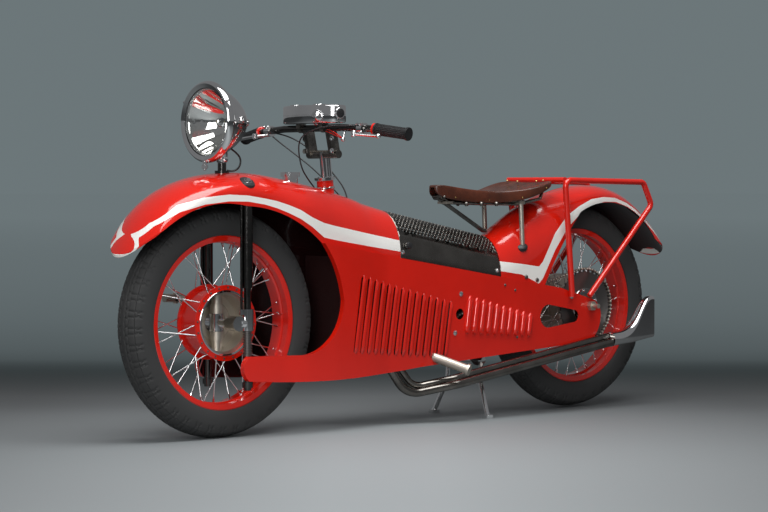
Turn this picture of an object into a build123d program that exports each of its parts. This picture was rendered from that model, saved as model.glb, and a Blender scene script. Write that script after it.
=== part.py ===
from build123d import *
import os
from math import cos, pi, radians, sin, sqrt, tan

# A motorcycle of the enclosed pressed-steel kind: two side plates carry everything,
# long shells cover both wheels, and the front wheel steers about a kingpin inside its hub.
# Millimetres. X runs forward, Y to the rider's left, Z up. The origin is on the floor,
# under the middle of the machine's length and width.

# Driving sizes

wheelbase = 1505.0
nose_overhang = 357.5            # front shell's tip ahead of the front axle
tail_overhang = 427.5            # rear shell's tip behind the rear axle
tyre_radius = 345.0
tyre_half_width = 52.0
bead_radius = 247.0              # rim bed, where the tyre sits
rim_flange_radius = 263.0
rim_half_width = 38.0
rim_wall = 3.0
spoke_diameter = 3.4
spoke_count = 40
rim_stagger = 2.2                # spokes enter the rim this far either side of their row
rear_tyre_lift = 4.0             # the centre stand holds the rear tyre just off the floor

plate_wall = 3.0
shell_wall = 3.0
running_gap = 0.05               # radial clearance of a pin or bearing that turns

overall_length = nose_overhang + wheelbase + tail_overhang
nose_x = overall_length / 2
tail_x = -overall_length / 2
front_x = nose_x - nose_overhang
rear_x = front_x - wheelbase
front_z = tyre_radius
rear_z = tyre_radius + rear_tyre_lift

# Seam between the side plates and the shells: a straight line that rises forward

seam_slope = 0.1585
seam_z_mid = 505.0               # height of the seam at X = 0


def seam_z(x):
    return seam_z_mid + seam_slope * x


# Side plates, seen from above: Y of the outer face along X

plate_rear_y = 108.0
plate_waist_y = 105.0
plate_bulge_y = 130.0            # the plates swell beside the steered tyre
plate_nose_y = 119.0
bulge_front_x = front_x - 225.0
bulge_rear_x = front_x - 365.0
waist_x = front_x - 590.0
flange_depth = 18.0

# Front wheel arch, from the front axle: forward and up

arch_top = (-22.0, 349.0)
arch_nose = (nose_overhang, 189.0)
arch_nose_mid = (258.0, 293.0)
arch_seam_x = -315.0             # where the arch meets the seam
arch_rear_mid = (-205.0, 306.0)
arch_back = (-395.0, 59.0)
arch_back_high = (-363.0, 160.0)
arch_low_mid = (-345.0, -55.0)
arch_low = (-244.0, -103.0)
arm_top_drop = 98.0              # top of the frame arm below the axle
arm_front = -10.0                # arm's end, from the axle
right_arch_back = 205.0          # the right plate covers the tyre to this far behind the axle
right_arch_corner = 60.0

# Rear wheel arch of the rear shell, from the rear axle

rear_arch_low_mid = (135.0, 208.0)
rear_arch_high = (50.0, 318.0)
rear_arch_top = (-95.0, 350.0)
rear_arch_back = (-321.0, 222.0)
rear_arch_tail = (-tail_overhang, 157.0)
rear_arch_seam_x = 214.0

# Perforated cover over the engine

cover_front_x = front_x - 647.5
cover_rear_x = rear_x + 414.5

# Front suspension: one upright column each side, behind the axle

column_back = 40.0
column_y = 98.0
column_radius = 16.5
slider_tube_radius = 11.0
column_top_z = front_z + 412.0
guide_ahead = 22.0               # thin guide rod ahead of each column
guide_radius = 4.0
arm_low_drop = 172.0             # underside of the frame arm below the axle
column_low_z = front_z + 105.0
slider_top_z = front_z + 42.0
slider_low_z = front_z - 22.0
spring_low_z = front_z - 98.0

# Front hub: a large open drum that turns on the hub carrier

hub_flange_radius = 113.5
hub_flange_y = 46.0
hub_flange_wall = 6.0
hub_bearing_radius = 96.0
hub_barrel_radius = 103.0
carrier_inner_radius = 86.0
carrier_half_width = 32.0
axle_radius = 12.0
kingpin_radius = 10.0
kingpin_half = 50.0
kingpin_block_radius = 22.0
kingpin_block_half = 26.0

# Steering

column_axis_x = 362.0            # where the steering column meets the shell
column_axis_z = 747.0
column_lean = 6.0                # degrees forward of upright
drop_arm_z = 390.0
link_y = 146.0
link_front_ahead = 45.0          # ball joint ahead of the kingpin
link_rear_behind = 35.0          # ball joint behind the column's axis
link_front_z = 414.0
link_radius = 6.0
ball_radius = 7.5
ball_gap = 0.5
front_ball_gap = 2.5             # the front socket's play takes up the linkage's small error
socket_radius = 13.0
link_swing = (-0.0045, 0.03281, 0.99945)  # axis that the drag link swings about at its rear ball

bar_half_width = 396.0
grip_straight = 125.0            # straight end of the bar that carries each grip
grip_length = 122.0
grip_radius = 17.0
bar_radius = 11.0
bar_x = 412.0
bar_z = 932.0
yoke_z = 852.0
column_tube_radius = 11.0
collar_radius = 26.0
housing_x = 427.0
housing_z = 974.0
housing_half = 28.0

filler_x = front_x - 283.5
filler_rise = 23.0               # top of the filler above the shell's crest there
filler_neck_radius = 24.0
saddle_nose_x = -90.0
saddle_rear_x = -500.0
rack_radius = 10.0

# Rear wheel and drive

rear_axle_radius = 10.0
rear_nut = 14.0
spindle_end_radius = 8.0
spindle_end = 24.0
rear_hub_radius = 28.0
rear_flange_radius = 60.0
rear_flange_y = 27.0
brake_drum_radius = 97.0
right_drum_radius = 105.0
sprocket_radius = 122.0
sprocket_y = 78.0
sprocket_wall = 6.0
sprocket_teeth = 36
chain_pitch = 2 * pi * sprocket_radius / sprocket_teeth

# Centre stand

stand_pivot_x = -235.0
stand_pivot_z = 186.0
stand_foot_x = -215.0
stand_half_width = 128.0
stand_tube_radius = 8.0
stand_top_y = 78.0
stand_knee_z = 116.0

# Exhaust: two pipes side by side on the left

pipe_radius = 13.5


def lean_point(z):
    """Point of the steering column's axis at height z."""
    return Vector(column_axis_x + (z - column_axis_z) * tan(radians(column_lean)), 0, z)


def side_face(*edges):
    """Face drawn in side view, X forward and Z up."""
    return Plane.XZ * make_face(edges)


def through(face, y_from, y_to):
    """Solid of a side-view face between two Y values."""
    moved = Pos(0, y_to, 0) * face
    return extrude(moved, amount=y_to - y_from, dir=(0, -1, 0))


def rod(start, end, radius):
    """Round bar between two points."""
    start = Vector(*start)
    end = Vector(*end)
    axis = end - start
    return extrude(Plane(origin=start, z_dir=axis) * Circle(radius), amount=axis.length)


def tube_path(points, bend):
    """Line through points with one bend radius at every corner."""
    return FilletPolyline(*points, radius=bend)


def bent_tube(points, bend, radius, bore=0.0):
    """Tube along a bent line."""
    path = tube_path(points, bend)
    section = Circle(radius)
    if bore:
        section = section - Circle(bore)
    start = Plane(origin=path @ 0, z_dir=path % 0)
    return sweep(start * section, path=path)


def around_y(x, z, face):
    """Solid of revolution about a line along Y through (x, z). Face is drawn as (radius, y)."""
    placed = Plane(origin=(x, 0, z), x_dir=(1, 0, 0), z_dir=(0, 0, 1)) * face
    return revolve(placed, Axis((x, 0, z), (0, 1, 0)))


def disc(x, z, radius, y_from, y_to):
    """Cylinder along Y."""
    return rod((x, y_from, z), (x, y_to, z), radius)


def mirrored(solid):
    return mirror(solid, about=Plane.XZ)


def group(*solids):
    """Solids that don't touch, kept in one piece of the list."""
    flat = []
    for item in solids:
        flat.extend(item.solids())
    return Compound(children=flat)


# Side plates

def plate_plan(y_shift):
    """The plates' outer face in plan, moved inwards by y_shift."""
    end_front = (front_x + 40, plate_nose_y - y_shift)
    end_rear = (rear_x - 90, plate_rear_y - y_shift)
    return FilletPolyline(end_front, (bulge_front_x, plate_bulge_y - y_shift),
                          (bulge_rear_x, plate_bulge_y - y_shift),
                          (waist_x, plate_waist_y - y_shift), end_rear, radius=250)


def plate_band(depth, z_low=120.0, z_high=640.0):
    """Space between the plate's outer face and the same face moved inwards."""
    outer = plate_plan(0)
    inner = plate_plan(depth)
    ends = [Line(outer @ 0, inner @ 0), Line(outer @ 1, inner @ 1)]
    plan = make_face(outer.edges() + inner.edges() + ends)
    return extrude(Pos(0, 0, z_low) * plan, amount=z_high - z_low)


def plate_outline(arch_forward):
    """One side plate in side view."""
    def at_front(point):
        return (front_x + point[0], front_z + point[1])

    arm_low_z = front_z - arm_low_drop
    arm_top_z = front_z - arm_top_drop
    arm_x = front_x + arm_front
    corner = 20.0
    if arch_forward:
        edge_x = front_x - right_arch_back
        seam_start = (edge_x, seam_z(edge_x))
        turn = right_arch_corner
        arch = [Line(seam_start, (edge_x, arm_top_z + turn)),
                ThreePointArc((edge_x, arm_top_z + turn),
                              (edge_x + turn * (1 - cos(pi / 4)), arm_top_z + turn * (1 - sin(pi / 4))),
                              (edge_x + turn, arm_top_z)),
                Line((edge_x + turn, arm_top_z), (arm_x - corner, arm_top_z))]
    else:
        seam_start = (front_x + arch_seam_x, seam_z(front_x + arch_seam_x))
        arch = [ThreePointArc(seam_start, at_front(arch_back_high), at_front(arch_back)),
                ThreePointArc(at_front(arch_back), at_front(arch_low_mid), at_front(arch_low)),
                Line(at_front(arch_low), (arm_x - corner, arm_top_z))]
    nose = [ThreePointArc((arm_x - corner, arm_top_z),
                          (arm_x, (arm_top_z + arm_low_z) / 2), (arm_x - corner, arm_low_z))]
    belly_front = (arm_x - corner, arm_low_z)
    belly_mid = (front_x - 390.0, front_z - 184.5)
    belly_rear = (front_x - 727.0, front_z - 165.0)
    heel = (rear_x + 72.0, rear_z - 124.0)
    heel_mid = (rear_x - 22.0, rear_z - 102.0)
    tip = (rear_x - 50.0, rear_z - 42.0)
    tip_mid = (rear_x - 42.0, rear_z - 2.0)
    tip_top = (rear_x - 12.0, rear_z + 22.0)
    seam_end_x = rear_x + 144.0
    belly = [ThreePointArc(belly_front, belly_mid, belly_rear), Line(belly_rear, heel),
             ThreePointArc(heel, heel_mid, tip), ThreePointArc(tip, tip_mid, tip_top),
             Line(tip_top, (seam_end_x, seam_z(seam_end_x))),
             Line((seam_end_x, seam_z(seam_end_x)), seam_start)]
    return make_face(arch + nose + belly)


body_tilt = 9.0                  # the louvres stand square to this nose-up line
open_louvre_count = 14
open_louvre_pitch = 30.0
open_louvre_width = 15.0
closed_louvre_count = 10
closed_louvre_pitch = 31.0
closed_louvre_width = 13.0
rib_rise = 7.0


def along_body(x, z, step):
    """Point a step further back along the tilted line through (x, z)."""
    return (x - step * cos(radians(body_tilt)), z - step * sin(radians(body_tilt)))


def louvre_row(x, z, count, pitch, width, first, last):
    """Upright slots in side view: middle of the first at (x, z), heights from first to last."""
    slots = []
    for index in range(count):
        share = index / (count - 1)
        height = first + (last - first) * share
        cx, cz = along_body(x, z, index * pitch)
        slots.append(Pos(cx, cz) * Rot(0, 0, 90 + body_tilt) * SlotOverall(height, width))
    return slots


def rear_slot():
    """Tapered opening near the rear of each plate, big end forward."""
    big = Pos(rear_x + 201.0, rear_z - 28.0) * Circle(38.5)
    small = Pos(rear_x + 77.0, rear_z - 32.0) * Circle(20.0)
    return make_face(make_hull(big.edges() + small.edges()))


def side_plate(arch_forward):
    """Left-hand plate; the right one is made the same way and mirrored."""
    outline = plate_outline(arch_forward)
    rim = outline - offset(outline, -plate_wall, kind=Kind.ARC)
    low_y = plate_waist_y - flange_depth - 5
    high_y = plate_bulge_y + 5
    skin = through(Plane.XZ * outline, low_y, high_y) & plate_band(plate_wall)
    flange = through(Plane.XZ * rim, low_y, high_y) & plate_band(flange_depth)
    cuts = [rear_slot(), Pos(rear_x + 604.5, rear_z - 7.0) * Circle(17.5)]
    cuts += louvre_row(front_x - 461.0, front_z + 10.0, open_louvre_count, open_louvre_pitch,
                       open_louvre_width, 238.0, 176.0)
    for cut in cuts:
        skin -= through(Plane.XZ * cut, low_y, high_y)
    ribs = []
    for rib in louvre_row(front_x - 938.0, front_z - 6.0, closed_louvre_count, closed_louvre_pitch,
                          closed_louvre_width, 118.0, 72.0):
        ribs.append(through(Plane.XZ * rib, plate_rear_y - plate_wall - 2, plate_rear_y + rib_rise))
    plate = skin + flange
    for rib in ribs:
        plate += rib
    plate -= disc(rear_x, rear_z, rear_axle_radius, low_y, high_y)
    foot_x = front_x - column_back
    plate -= rod((foot_x, column_y, front_z - arm_low_drop - 10), (foot_x, column_y, front_z - arm_top_drop + 10),
                 slider_tube_radius)
    if arch_forward:
        slot_x = lean_point(drop_arm_z).X - link_rear_behind
        slot = Pos(slot_x, drop_arm_z) * RectangleRounded(94, 46, 8)
        plate -= through(Plane.XZ * slot, low_y, high_y)
    else:
        plate -= Pos(135, plate_waist_y - flange_depth / 2 - 5, 165) * Box(150, flange_depth + 4, 24)
    return plate


# Shells

def cross_plane(x):
    """Upright plane across the machine at x."""
    return Plane(origin=(x, 0, 0), x_dir=(0, 1, 0), z_dir=(1, 0, 0))


def radial_plane(x, z, angle):
    """Plane across the machine that holds an axle's line, at an angle above straight ahead."""
    turn = radians(angle)
    return Plane(origin=(x, 0, z), x_dir=(0, 1, 0), z_dir=(sin(turn), 0, -cos(turn)))


def dome_band(plane, half_width, low, shoulder, crest):
    """Section of a shell's wall: straight sides up to the shoulder, a half ellipse to the crest."""
    inner = half_width - shell_wall
    outer_top = EllipticalCenterArc((0, shoulder), half_width, crest - shoulder, start_angle=0, arc_size=180)
    inner_top = EllipticalCenterArc((0, shoulder), inner, crest - shoulder - shell_wall,
                                    start_angle=0, arc_size=180)
    sides = [Line((half_width, low), (half_width, shoulder)), Line((-half_width, shoulder), (-half_width, low)),
             Line((-half_width, low), (-inner, low)), Line((-inner, low), (-inner, shoulder)),
             Line((inner, shoulder), (inner, low)), Line((inner, low), (half_width, low))]
    return plane * make_face([outer_top, inner_top] + sides)


def shell_between(rows, planes):
    """Hollow shell lofted through its wall sections; rows are (half width, low, shoulder, crest)."""
    return loft([dome_band(plane, *row) for row, plane in zip(rows, planes)])


def nose_trim(x_tip, radius, direction):
    """Everything under a rounded nose in plan; direction is 1 forward or -1 backward."""
    centre = x_tip - direction * radius
    box_length = overall_length
    strip = Pos(centre - direction * box_length / 2, 0) * Rectangle(box_length, 2 * radius + 40)
    plan = strip + Pos(centre, 0) * Circle(radius)
    return extrude(plan, amount=900)


# columns: forward of the front axle or angle, half width, low, shoulder, crest
front_radial_rows = (
    (18.0, 112.0, 260.0, 372.0, 406.0),
    (31.0, 115.0, 260.0, 376.0, 414.0),
    (47.0, 118.0, 260.0, 380.0, 428.0),
    (66.0, 120.0, 260.0, 384.0, 441.0),
)
front_cross_rows = (
    (0.0, 120.0, 600.0, 732.0, 792.0),
    (-165.0, 119.0, 520.0, 700.0, 786.0),
    (-362.0, 112.0, 500.0, 620.0, 751.0),
    (-530.0, 105.0, 480.0, 560.0, 710.0),
    (cover_front_x - front_x, 102.0, 480.0, 536.0, 678.0),
)


def crest_z(x):
    """Height of the front shell's crest at x, between two rows of its table."""
    for ahead, behind in zip(front_cross_rows, front_cross_rows[1:]):
        if x - front_x >= behind[0]:
            break
    share = (x - front_x - behind[0]) / (ahead[0] - behind[0])
    return behind[4] + (ahead[4] - behind[4]) * share


def front_shell():
    rows = []
    planes = []
    for angle, half_width, low, shoulder, crest in front_radial_rows:
        planes.append(radial_plane(front_x, front_z, angle))
        rows.append((half_width, low, shoulder, crest))
    for ahead, half_width, low, shoulder, crest in front_cross_rows:
        planes.append(cross_plane(front_x + ahead))
        rows.append((half_width, low, shoulder, crest))
    shell = shell_between(rows, planes)

    def at_front(point):
        return (front_x + point[0], front_z + point[1])

    seam_start = (front_x + arch_seam_x, seam_z(front_x + arch_seam_x))
    seam_end = (cover_front_x, seam_z(cover_front_x))
    roof = 860.0
    keep = side_face(ThreePointArc(at_front(arch_nose), at_front(arch_nose_mid), at_front(arch_top)),
                     ThreePointArc(at_front(arch_top), at_front(arch_rear_mid), seam_start),
                     Line(seam_start, seam_end), Line(seam_end, (cover_front_x, roof)),
                     Line((cover_front_x, roof), (nose_x + 10, roof)),
                     Line((nose_x + 10, roof), (nose_x + 10, at_front(arch_nose)[1])),
                     Line((nose_x + 10, at_front(arch_nose)[1]), at_front(arch_nose)))
    shell = shell & through(keep, -200, 200)
    shell = shell & nose_trim(nose_x, 118.0, 1)
    for side in (1, -1):
        shell -= rod((front_x - column_back, side * column_y, column_top_z - 60),
                     (front_x - column_back, side * column_y, column_top_z + 60), column_radius)
    shell -= rod(lean_point(column_axis_z - 60), lean_point(column_axis_z + 60), collar_radius)
    shell -= rod((filler_x, 0, crest_z(filler_x) - 40), (filler_x, 0, crest_z(filler_x) + 40), filler_neck_radius)
    return shell


# columns: back from the rear axle or angle, half width, low, shoulder, crest
rear_cross_rows = (
    (cover_rear_x - rear_x, 100.0, 420.0, 462.0, 592.0),
    (290.0, 101.0, 400.0, 500.0, 655.0),
    (145.0, 106.0, 400.0, 600.0, 720.0),
    (0.0, 110.0, 500.0, 690.0, 752.0),
)
rear_radial_rows = (
    (112.0, 110.0, 260.0, 365.0, 428.0),
    (134.0, 110.0, 260.0, 380.0, 438.0),
    (152.0, 110.0, 260.0, 400.0, 452.0),
    (168.0, 108.0, 260.0, 410.0, 456.0),
)


def rear_shell():
    rows = []
    planes = []
    for ahead, half_width, low, shoulder, crest in rear_cross_rows:
        planes.append(cross_plane(rear_x + ahead))
        rows.append((half_width, low, shoulder, crest))
    for angle, half_width, low, shoulder, crest in rear_radial_rows:
        planes.append(radial_plane(rear_x, rear_z, angle))
        rows.append((half_width, low, shoulder, crest))
    shell = shell_between(rows, planes)

    def at_rear(point):
        return (rear_x + point[0], rear_z + point[1])

    seam_start = (rear_x + rear_arch_seam_x, seam_z(rear_x + rear_arch_seam_x))
    seam_end = (cover_rear_x, seam_z(cover_rear_x))
    roof = 860.0
    tail = at_rear(rear_arch_tail)
    keep = side_face(Line(seam_end, seam_start),
                     ThreePointArc(seam_start, at_rear(rear_arch_low_mid), at_rear(rear_arch_high)),
                     ThreePointArc(at_rear(rear_arch_high), at_rear(rear_arch_top), at_rear(rear_arch_back)),
                     Line(at_rear(rear_arch_back), tail), Line(tail, (tail_x - 10, tail[1])),
                     Line((tail_x - 10, tail[1]), (tail_x - 10, roof)),
                     Line((tail_x - 10, roof), (cover_rear_x, roof)),
                     Line((cover_rear_x, roof), seam_end))
    shell = shell & through(keep, -200, 200)
    shell = shell & nose_trim(tail_x, 112.0, -1)
    for side in (1, -1):
        shell -= seat_rod(side)
    return shell


def perforated_cover():
    rows = (front_cross_rows[-1][1:], rear_cross_rows[0][1:])
    planes = (cross_plane(cover_front_x - 0.5), cross_plane(cover_rear_x + 0.5))
    shell = shell_between(rows, planes)
    front = (cover_front_x + 5, seam_z(cover_front_x + 5))
    rear = (cover_rear_x - 5, seam_z(cover_rear_x - 5))
    roof = 860.0
    keep = side_face(Line(front, rear), Line(rear, (rear[0], roof)),
                     Line((rear[0], roof), (front[0], roof)), Line((front[0], roof), front))
    return shell & through(keep, -200, 200)


# Wheels

def tyre(x, z):
    bead_y = rim_half_width - rim_wall
    bead_r = rim_flange_radius - rim_wall
    waist_r = (bead_radius + tyre_radius) / 2
    shoulder_r = tyre_radius - 14
    shoulder_y = tyre_half_width - 12
    profile = [Line((bead_radius, -bead_y), (bead_radius, bead_y)), Line((bead_radius, bead_y), (bead_r, bead_y)),
               ThreePointArc((bead_r, bead_y), (waist_r, tyre_half_width), (shoulder_r, shoulder_y)),
               ThreePointArc((shoulder_r, shoulder_y), (tyre_radius, 0), (shoulder_r, -shoulder_y)),
               ThreePointArc((shoulder_r, -shoulder_y), (waist_r, -tyre_half_width), (bead_r, -bead_y)),
               Line((bead_r, -bead_y), (bead_radius, -bead_y))]
    return around_y(x, z, make_face(profile))


def rim(x, z):
    flange = rim_flange_radius
    bed = bead_radius
    lip = bead_radius - rim_wall
    half = rim_half_width
    profile = Polyline((bed, -half + rim_wall), (flange - rim_wall, -half + rim_wall), (flange, -half - 1),
                       (flange - rim_wall - 2, -half - 3), (lip, -half), (lip, -12), (bed - 8, -9),
                       (bed - 8, 9), (lip, 12), (lip, half), (flange - rim_wall - 2, half + 3),
                       (flange, half + 1), (flange - rim_wall, half - rim_wall), (bed, half - rim_wall),
                       close=True)
    return around_y(x, z, make_face(profile))


def spokes(x, z, hub_radius, hub_y, hub_stagger, lean, hub, wheel_rim):
    """Straight spokes from two hub flanges to the rim, leaning in turn and passing beside each other."""
    made = []
    half = spoke_count // 2
    rim_radius = bead_radius - 5
    for side in (1, -1):
        for index in range(half):
            turn = 1 if index % 2 else -1
            hub_turn = radians(index * 360.0 / half + (0 if side > 0 else 180.0 / half))
            rim_turn = hub_turn + radians(turn * lean)
            start_y = side * (hub_y + turn * hub_stagger)
            end_y = side * (6 + turn * rim_stagger)
            start = (x + hub_radius * cos(hub_turn), start_y, z + hub_radius * sin(hub_turn))
            end = (x + rim_radius * cos(rim_turn), end_y, z + rim_radius * sin(rim_turn))
            made.append(rod(start, end, spoke_diameter / 2) - hub - wheel_rim)
    return group(*made)


def front_hub():
    y = hub_flange_y
    wall = hub_flange_wall
    profile = Polyline((hub_bearing_radius, -y), (hub_flange_radius, -y), (hub_flange_radius, -y + wall),
                       (hub_barrel_radius, -y + wall), (hub_barrel_radius, y - wall),
                       (hub_flange_radius, y - wall), (hub_flange_radius, y), (hub_bearing_radius, y), close=True)
    return around_y(front_x, front_z, make_face(profile))


web_y = -21.5                    # the carrier's web stands to the right of the wheel's middle
web_wall = 5.0
web_bore_radius = 30.0
web_ridges = (70.0, 52.0)        # outer radii of the raised rings on the web
web_ridge_width = 7.0


def kingpin_boss(way):
    """Boss between the carrier's ring and its web, above (1) or below (-1) the axle."""
    near = front_z + way * (kingpin_block_half + 1)
    end = front_z + way * (kingpin_half + 4)
    boss = rod((front_x, 0, near), (front_x, 0, front_z + way * (carrier_inner_radius + 3)), 16)
    boss += rod((front_x, 0, near), (front_x, 0, end), kingpin_block_radius - 2)
    return boss - rod((front_x, 0, front_z), (front_x, 0, front_z + way * (kingpin_half + 1)),
                      kingpin_radius + running_gap)


def hub_carrier():
    """Bearing ring, grooved web and kingpin bosses that steer inside the front hub."""
    outer = hub_bearing_radius - running_gap
    inner = carrier_inner_radius
    half = carrier_half_width
    low, high = web_y - web_wall / 2, web_y + web_wall / 2
    carrier = disc(front_x, front_z, outer, -half, half) - disc(front_x, front_z, inner, -half, half)
    carrier += disc(front_x, front_z, inner + 1, low, high) - disc(front_x, front_z, web_bore_radius, low, high)
    for ring_radius in web_ridges:
        carrier += (disc(front_x, front_z, ring_radius, high - 1, high + 3)
                    - disc(front_x, front_z, ring_radius - web_ridge_width, high - 1, high + 3))
    return carrier + [kingpin_boss(1), kingpin_boss(-1)]


def front_axle():
    y = column_y + 12
    axle = disc(front_x, front_z, axle_radius, -y, y)
    axle += rod((front_x, 0, front_z - kingpin_block_half), (front_x, 0, front_z + kingpin_block_half),
                kingpin_block_radius)
    axle += rod((front_x, 0, front_z - kingpin_half), (front_x, 0, front_z + kingpin_half), kingpin_radius)
    return axle


def steering_arm():
    """Arm from the hub carrier out to the drag link's front ball."""
    ball = Vector(front_x + link_front_ahead, -link_y, link_front_z)
    root = Vector(front_x + 14, -24, link_front_z)
    knee = Vector(front_x + 30, -66, link_front_z)
    arm = rod(root, knee, 8) + rod(knee, ball + Vector(0, 23, 0), 8) + Pos(*knee) * Sphere(8)
    arm += rod(ball + Vector(0, 26, 0), ball, 4) + Pos(*ball) * Sphere(ball_radius)
    arm -= hub_carrier()
    return max(arm.solids(), key=lambda solid: solid.volume)


def front_ball_point():
    return Vector(front_x + link_front_ahead, -link_y, link_front_z)


def rear_ball_point():
    return Vector(lean_point(drop_arm_z).X - link_rear_behind, -link_y, drop_arm_z)


def drag_link():
    front_ball = front_ball_point()
    rear_ball = rear_ball_point()
    along = (front_ball - rear_ball).normalized()
    swing_axis = Vector(*link_swing)
    link = rod(rear_ball + along * 16, front_ball - along * 16, link_radius)
    for ball, way in ((front_ball, 1), (rear_ball, -1)):
        link += rod(ball - along * way * 20, ball + along * way * 42, socket_radius)
        cap = swing_axis * (socket_radius + 3)
        link += rod(ball - cap, ball + cap, 8)
    for ball, gap in ((front_ball, front_ball_gap), (rear_ball, ball_gap)):
        link -= Pos(*ball) * Sphere(ball_radius + gap)
        link -= rod(ball, ball + Vector(0, 30, 0), 10)
    return link


def fork_columns():
    """Upright columns with their guide rods, down through the frame arms."""
    x = front_x - column_back
    columns = []
    for side in (1, -1):
        y = side * column_y
        foot_z = front_z - arm_low_drop - 28
        column = rod((x, y, column_low_z), (x, y, column_top_z), column_radius)
        column += rod((x, y, slider_top_z), (x, y, column_low_z), slider_tube_radius)
        column += rod((x + guide_ahead, y, slider_top_z), (x + guide_ahead, y, column_top_z - 45), guide_radius)
        bridge_z = column_top_z - 50
        column += rod((x, y, bridge_z), (x + guide_ahead, y, bridge_z), guide_radius + 2)
        foot = rod((x, y, foot_z), (x, y, spring_low_z), slider_tube_radius)
        foot += rod((x, y, foot_z + 8), (x, y, front_z - arm_low_drop - 3), 16)
        columns.append(column)
        columns.append(foot)
    return group(*columns)


def fork_sliders():
    """Sliders that hold the front axle's ends."""
    x = front_x - column_back
    made = []
    for side in (1, -1):
        y = side * column_y
        slider = rod((x, y, slider_low_z), (x, y, slider_top_z), 19)
        slider += disc(front_x, front_z, 22, min(side * 62, side * 110), max(side * 62, side * 110))
        slider += rod((x, y, front_z), (front_x, y, front_z), 15)
        slider += rod((x + guide_ahead, y, slider_top_z - 16), (x + guide_ahead, y, slider_top_z), 8)
        slider -= disc(front_x, front_z, axle_radius, min(side * 50, side * 130), max(side * 50, side * 130))
        made.append(slider)
    return group(*made)


def rebound_springs():
    """Lower springs between slider and frame arm: coils drawn as rings on a core."""
    x = front_x - column_back
    ring_count = 10
    pitch = (slider_low_z - spring_low_z) / ring_count
    made = []
    for side in (1, -1):
        y = side * column_y
        spring = rod((x, y, spring_low_z), (x, y, slider_low_z), 10)
        for index in range(ring_count):
            low = spring_low_z + (index + 0.2) * pitch
            spring += rod((x, y, low), (x, y, low + pitch * 0.6), 14)
        made.append(spring)
    return group(*made)


def rear_hub():
    left_face = sprocket_y - sprocket_wall / 2 - 1
    bore = rear_axle_radius + running_gap
    ring = rear_flange_radius
    y = rear_flange_y
    profile = Polyline((bore, -58), (right_drum_radius, -58), (right_drum_radius, -44), (ring, -y - 9), (ring, -y),
                       (rear_hub_radius, -y), (rear_hub_radius, y), (ring, y), (ring, y + 9),
                       (brake_drum_radius - 12, 42), (brake_drum_radius, 46), (brake_drum_radius, left_face),
                       (bore, left_face), close=True)
    hub = around_y(rear_x, rear_z, make_face(profile))
    return hub


def rear_sprocket():
    """Toothed ring bolted to the brake drum."""
    root = sprocket_radius - 7
    low = sprocket_y - sprocket_wall / 2
    body = Circle(root) - Circle(60)
    tooth = Polygon((root - 4, -4.6), (root + 6, -2.0), (root + 6, 2.0), (root - 4, 4.6), align=None)
    for index in range(sprocket_teeth):
        body += Rot(0, 0, index * 360.0 / sprocket_teeth) * tooth
    plane = Plane(origin=(rear_x, low, rear_z), x_dir=(1, 0, 0), z_dir=(0, 1, 0))
    ring = extrude(plane * body, amount=sprocket_wall)
    return ring


def drive_chain():
    """Chain round the rear sprocket and forward into the frame, as two side runs of plates."""
    front_sprocket_x = -150.0
    front_sprocket_z = 300.0
    big = Pos(rear_x, rear_z) * Circle(sprocket_radius + 6)
    small = Pos(front_sprocket_x, front_sprocket_z) * Circle(46)
    outer = make_face(make_hull(big.edges() + small.edges()))
    inner_big = Pos(rear_x, rear_z) * Circle(sprocket_radius + 0.5)
    inner_small = Pos(front_sprocket_x, front_sprocket_z) * Circle(38)
    inner = make_face(make_hull(inner_big.edges() + inner_small.edges()))
    band = outer - inner
    return through(Plane.XZ * band, sprocket_y - 6, sprocket_y + 6)


def rear_axle():
    """Spindle with a nut each side, and a thinner free end outside each nut for a paddock stand."""
    half = plate_rear_y + rear_nut
    axle = disc(rear_x, rear_z, rear_axle_radius, -half, half)
    axle += disc(rear_x, rear_z, spindle_end_radius, -half - spindle_end, half + spindle_end)
    nut = RegularPolygon(17, 6)
    for side in (1, -1):
        plane = Plane(origin=(rear_x, side * plate_rear_y, rear_z), x_dir=(1, 0, 0), z_dir=(0, side, 0))
        axle += extrude(plane * (nut - Circle(rear_axle_radius - 1)), amount=rear_nut)
    return axle


# Engine block and cross members

def engine_block():
    """One plain block where the engine and gearbox sit."""
    return Pos(75, 0, 345) * Box(400, 130, 290)


def cross_members():
    half = plate_waist_y - plate_wall
    bulkhead = Pos(front_x - 430, 0, 365) * Box(4, 2 * half, 340)
    member_x = -190.0
    member_z = 225.0
    middle = disc(member_x, member_z, 14, -half, half)
    lug = make_hull((Pos(member_x, member_z) * Circle(14)).edges()
                    + (Pos(stand_pivot_x, stand_pivot_z) * Circle(18)).edges())
    for side in (1, -1):
        middle += through(Plane.XZ * make_face(lug), side * 58 - 5, side * 58 + 5)
    middle -= disc(stand_pivot_x, stand_pivot_z, stand_tube_radius + 2 + running_gap, -half, half)
    rear = disc(rear_x + tyre_radius + 25, rear_z + 68, 10, -half, half)
    return group(bulkhead, middle, rear)


# Lamp, bars and controls

lamp_x = front_x + 39.0
lamp_z = 944.0
lamp_rim_radius = 122.0
lamp_glass_radius = 101.5
lamp_glass_dome = 14.0


def headlamp():
    """Bowl that opens forward, with its bezel."""
    outer = [Line((0, -150), (0, -146)), ThreePointArc((0, -150), (62, -105), (108, -18)),
             Line((108, -18), (108, 0)), Line((108, 0), (104, 0)), Line((104, 0), (104, -18)),
             ThreePointArc((104, -18), (59, -101), (0, -146))]
    plane = Plane(origin=(lamp_x, 0, lamp_z), x_dir=(0, 1, 0), z_dir=(0, 0, -1))
    bowl = revolve(plane * make_face(outer), Axis((lamp_x, 0, lamp_z), (1, 0, 0)))
    return bowl


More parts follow.
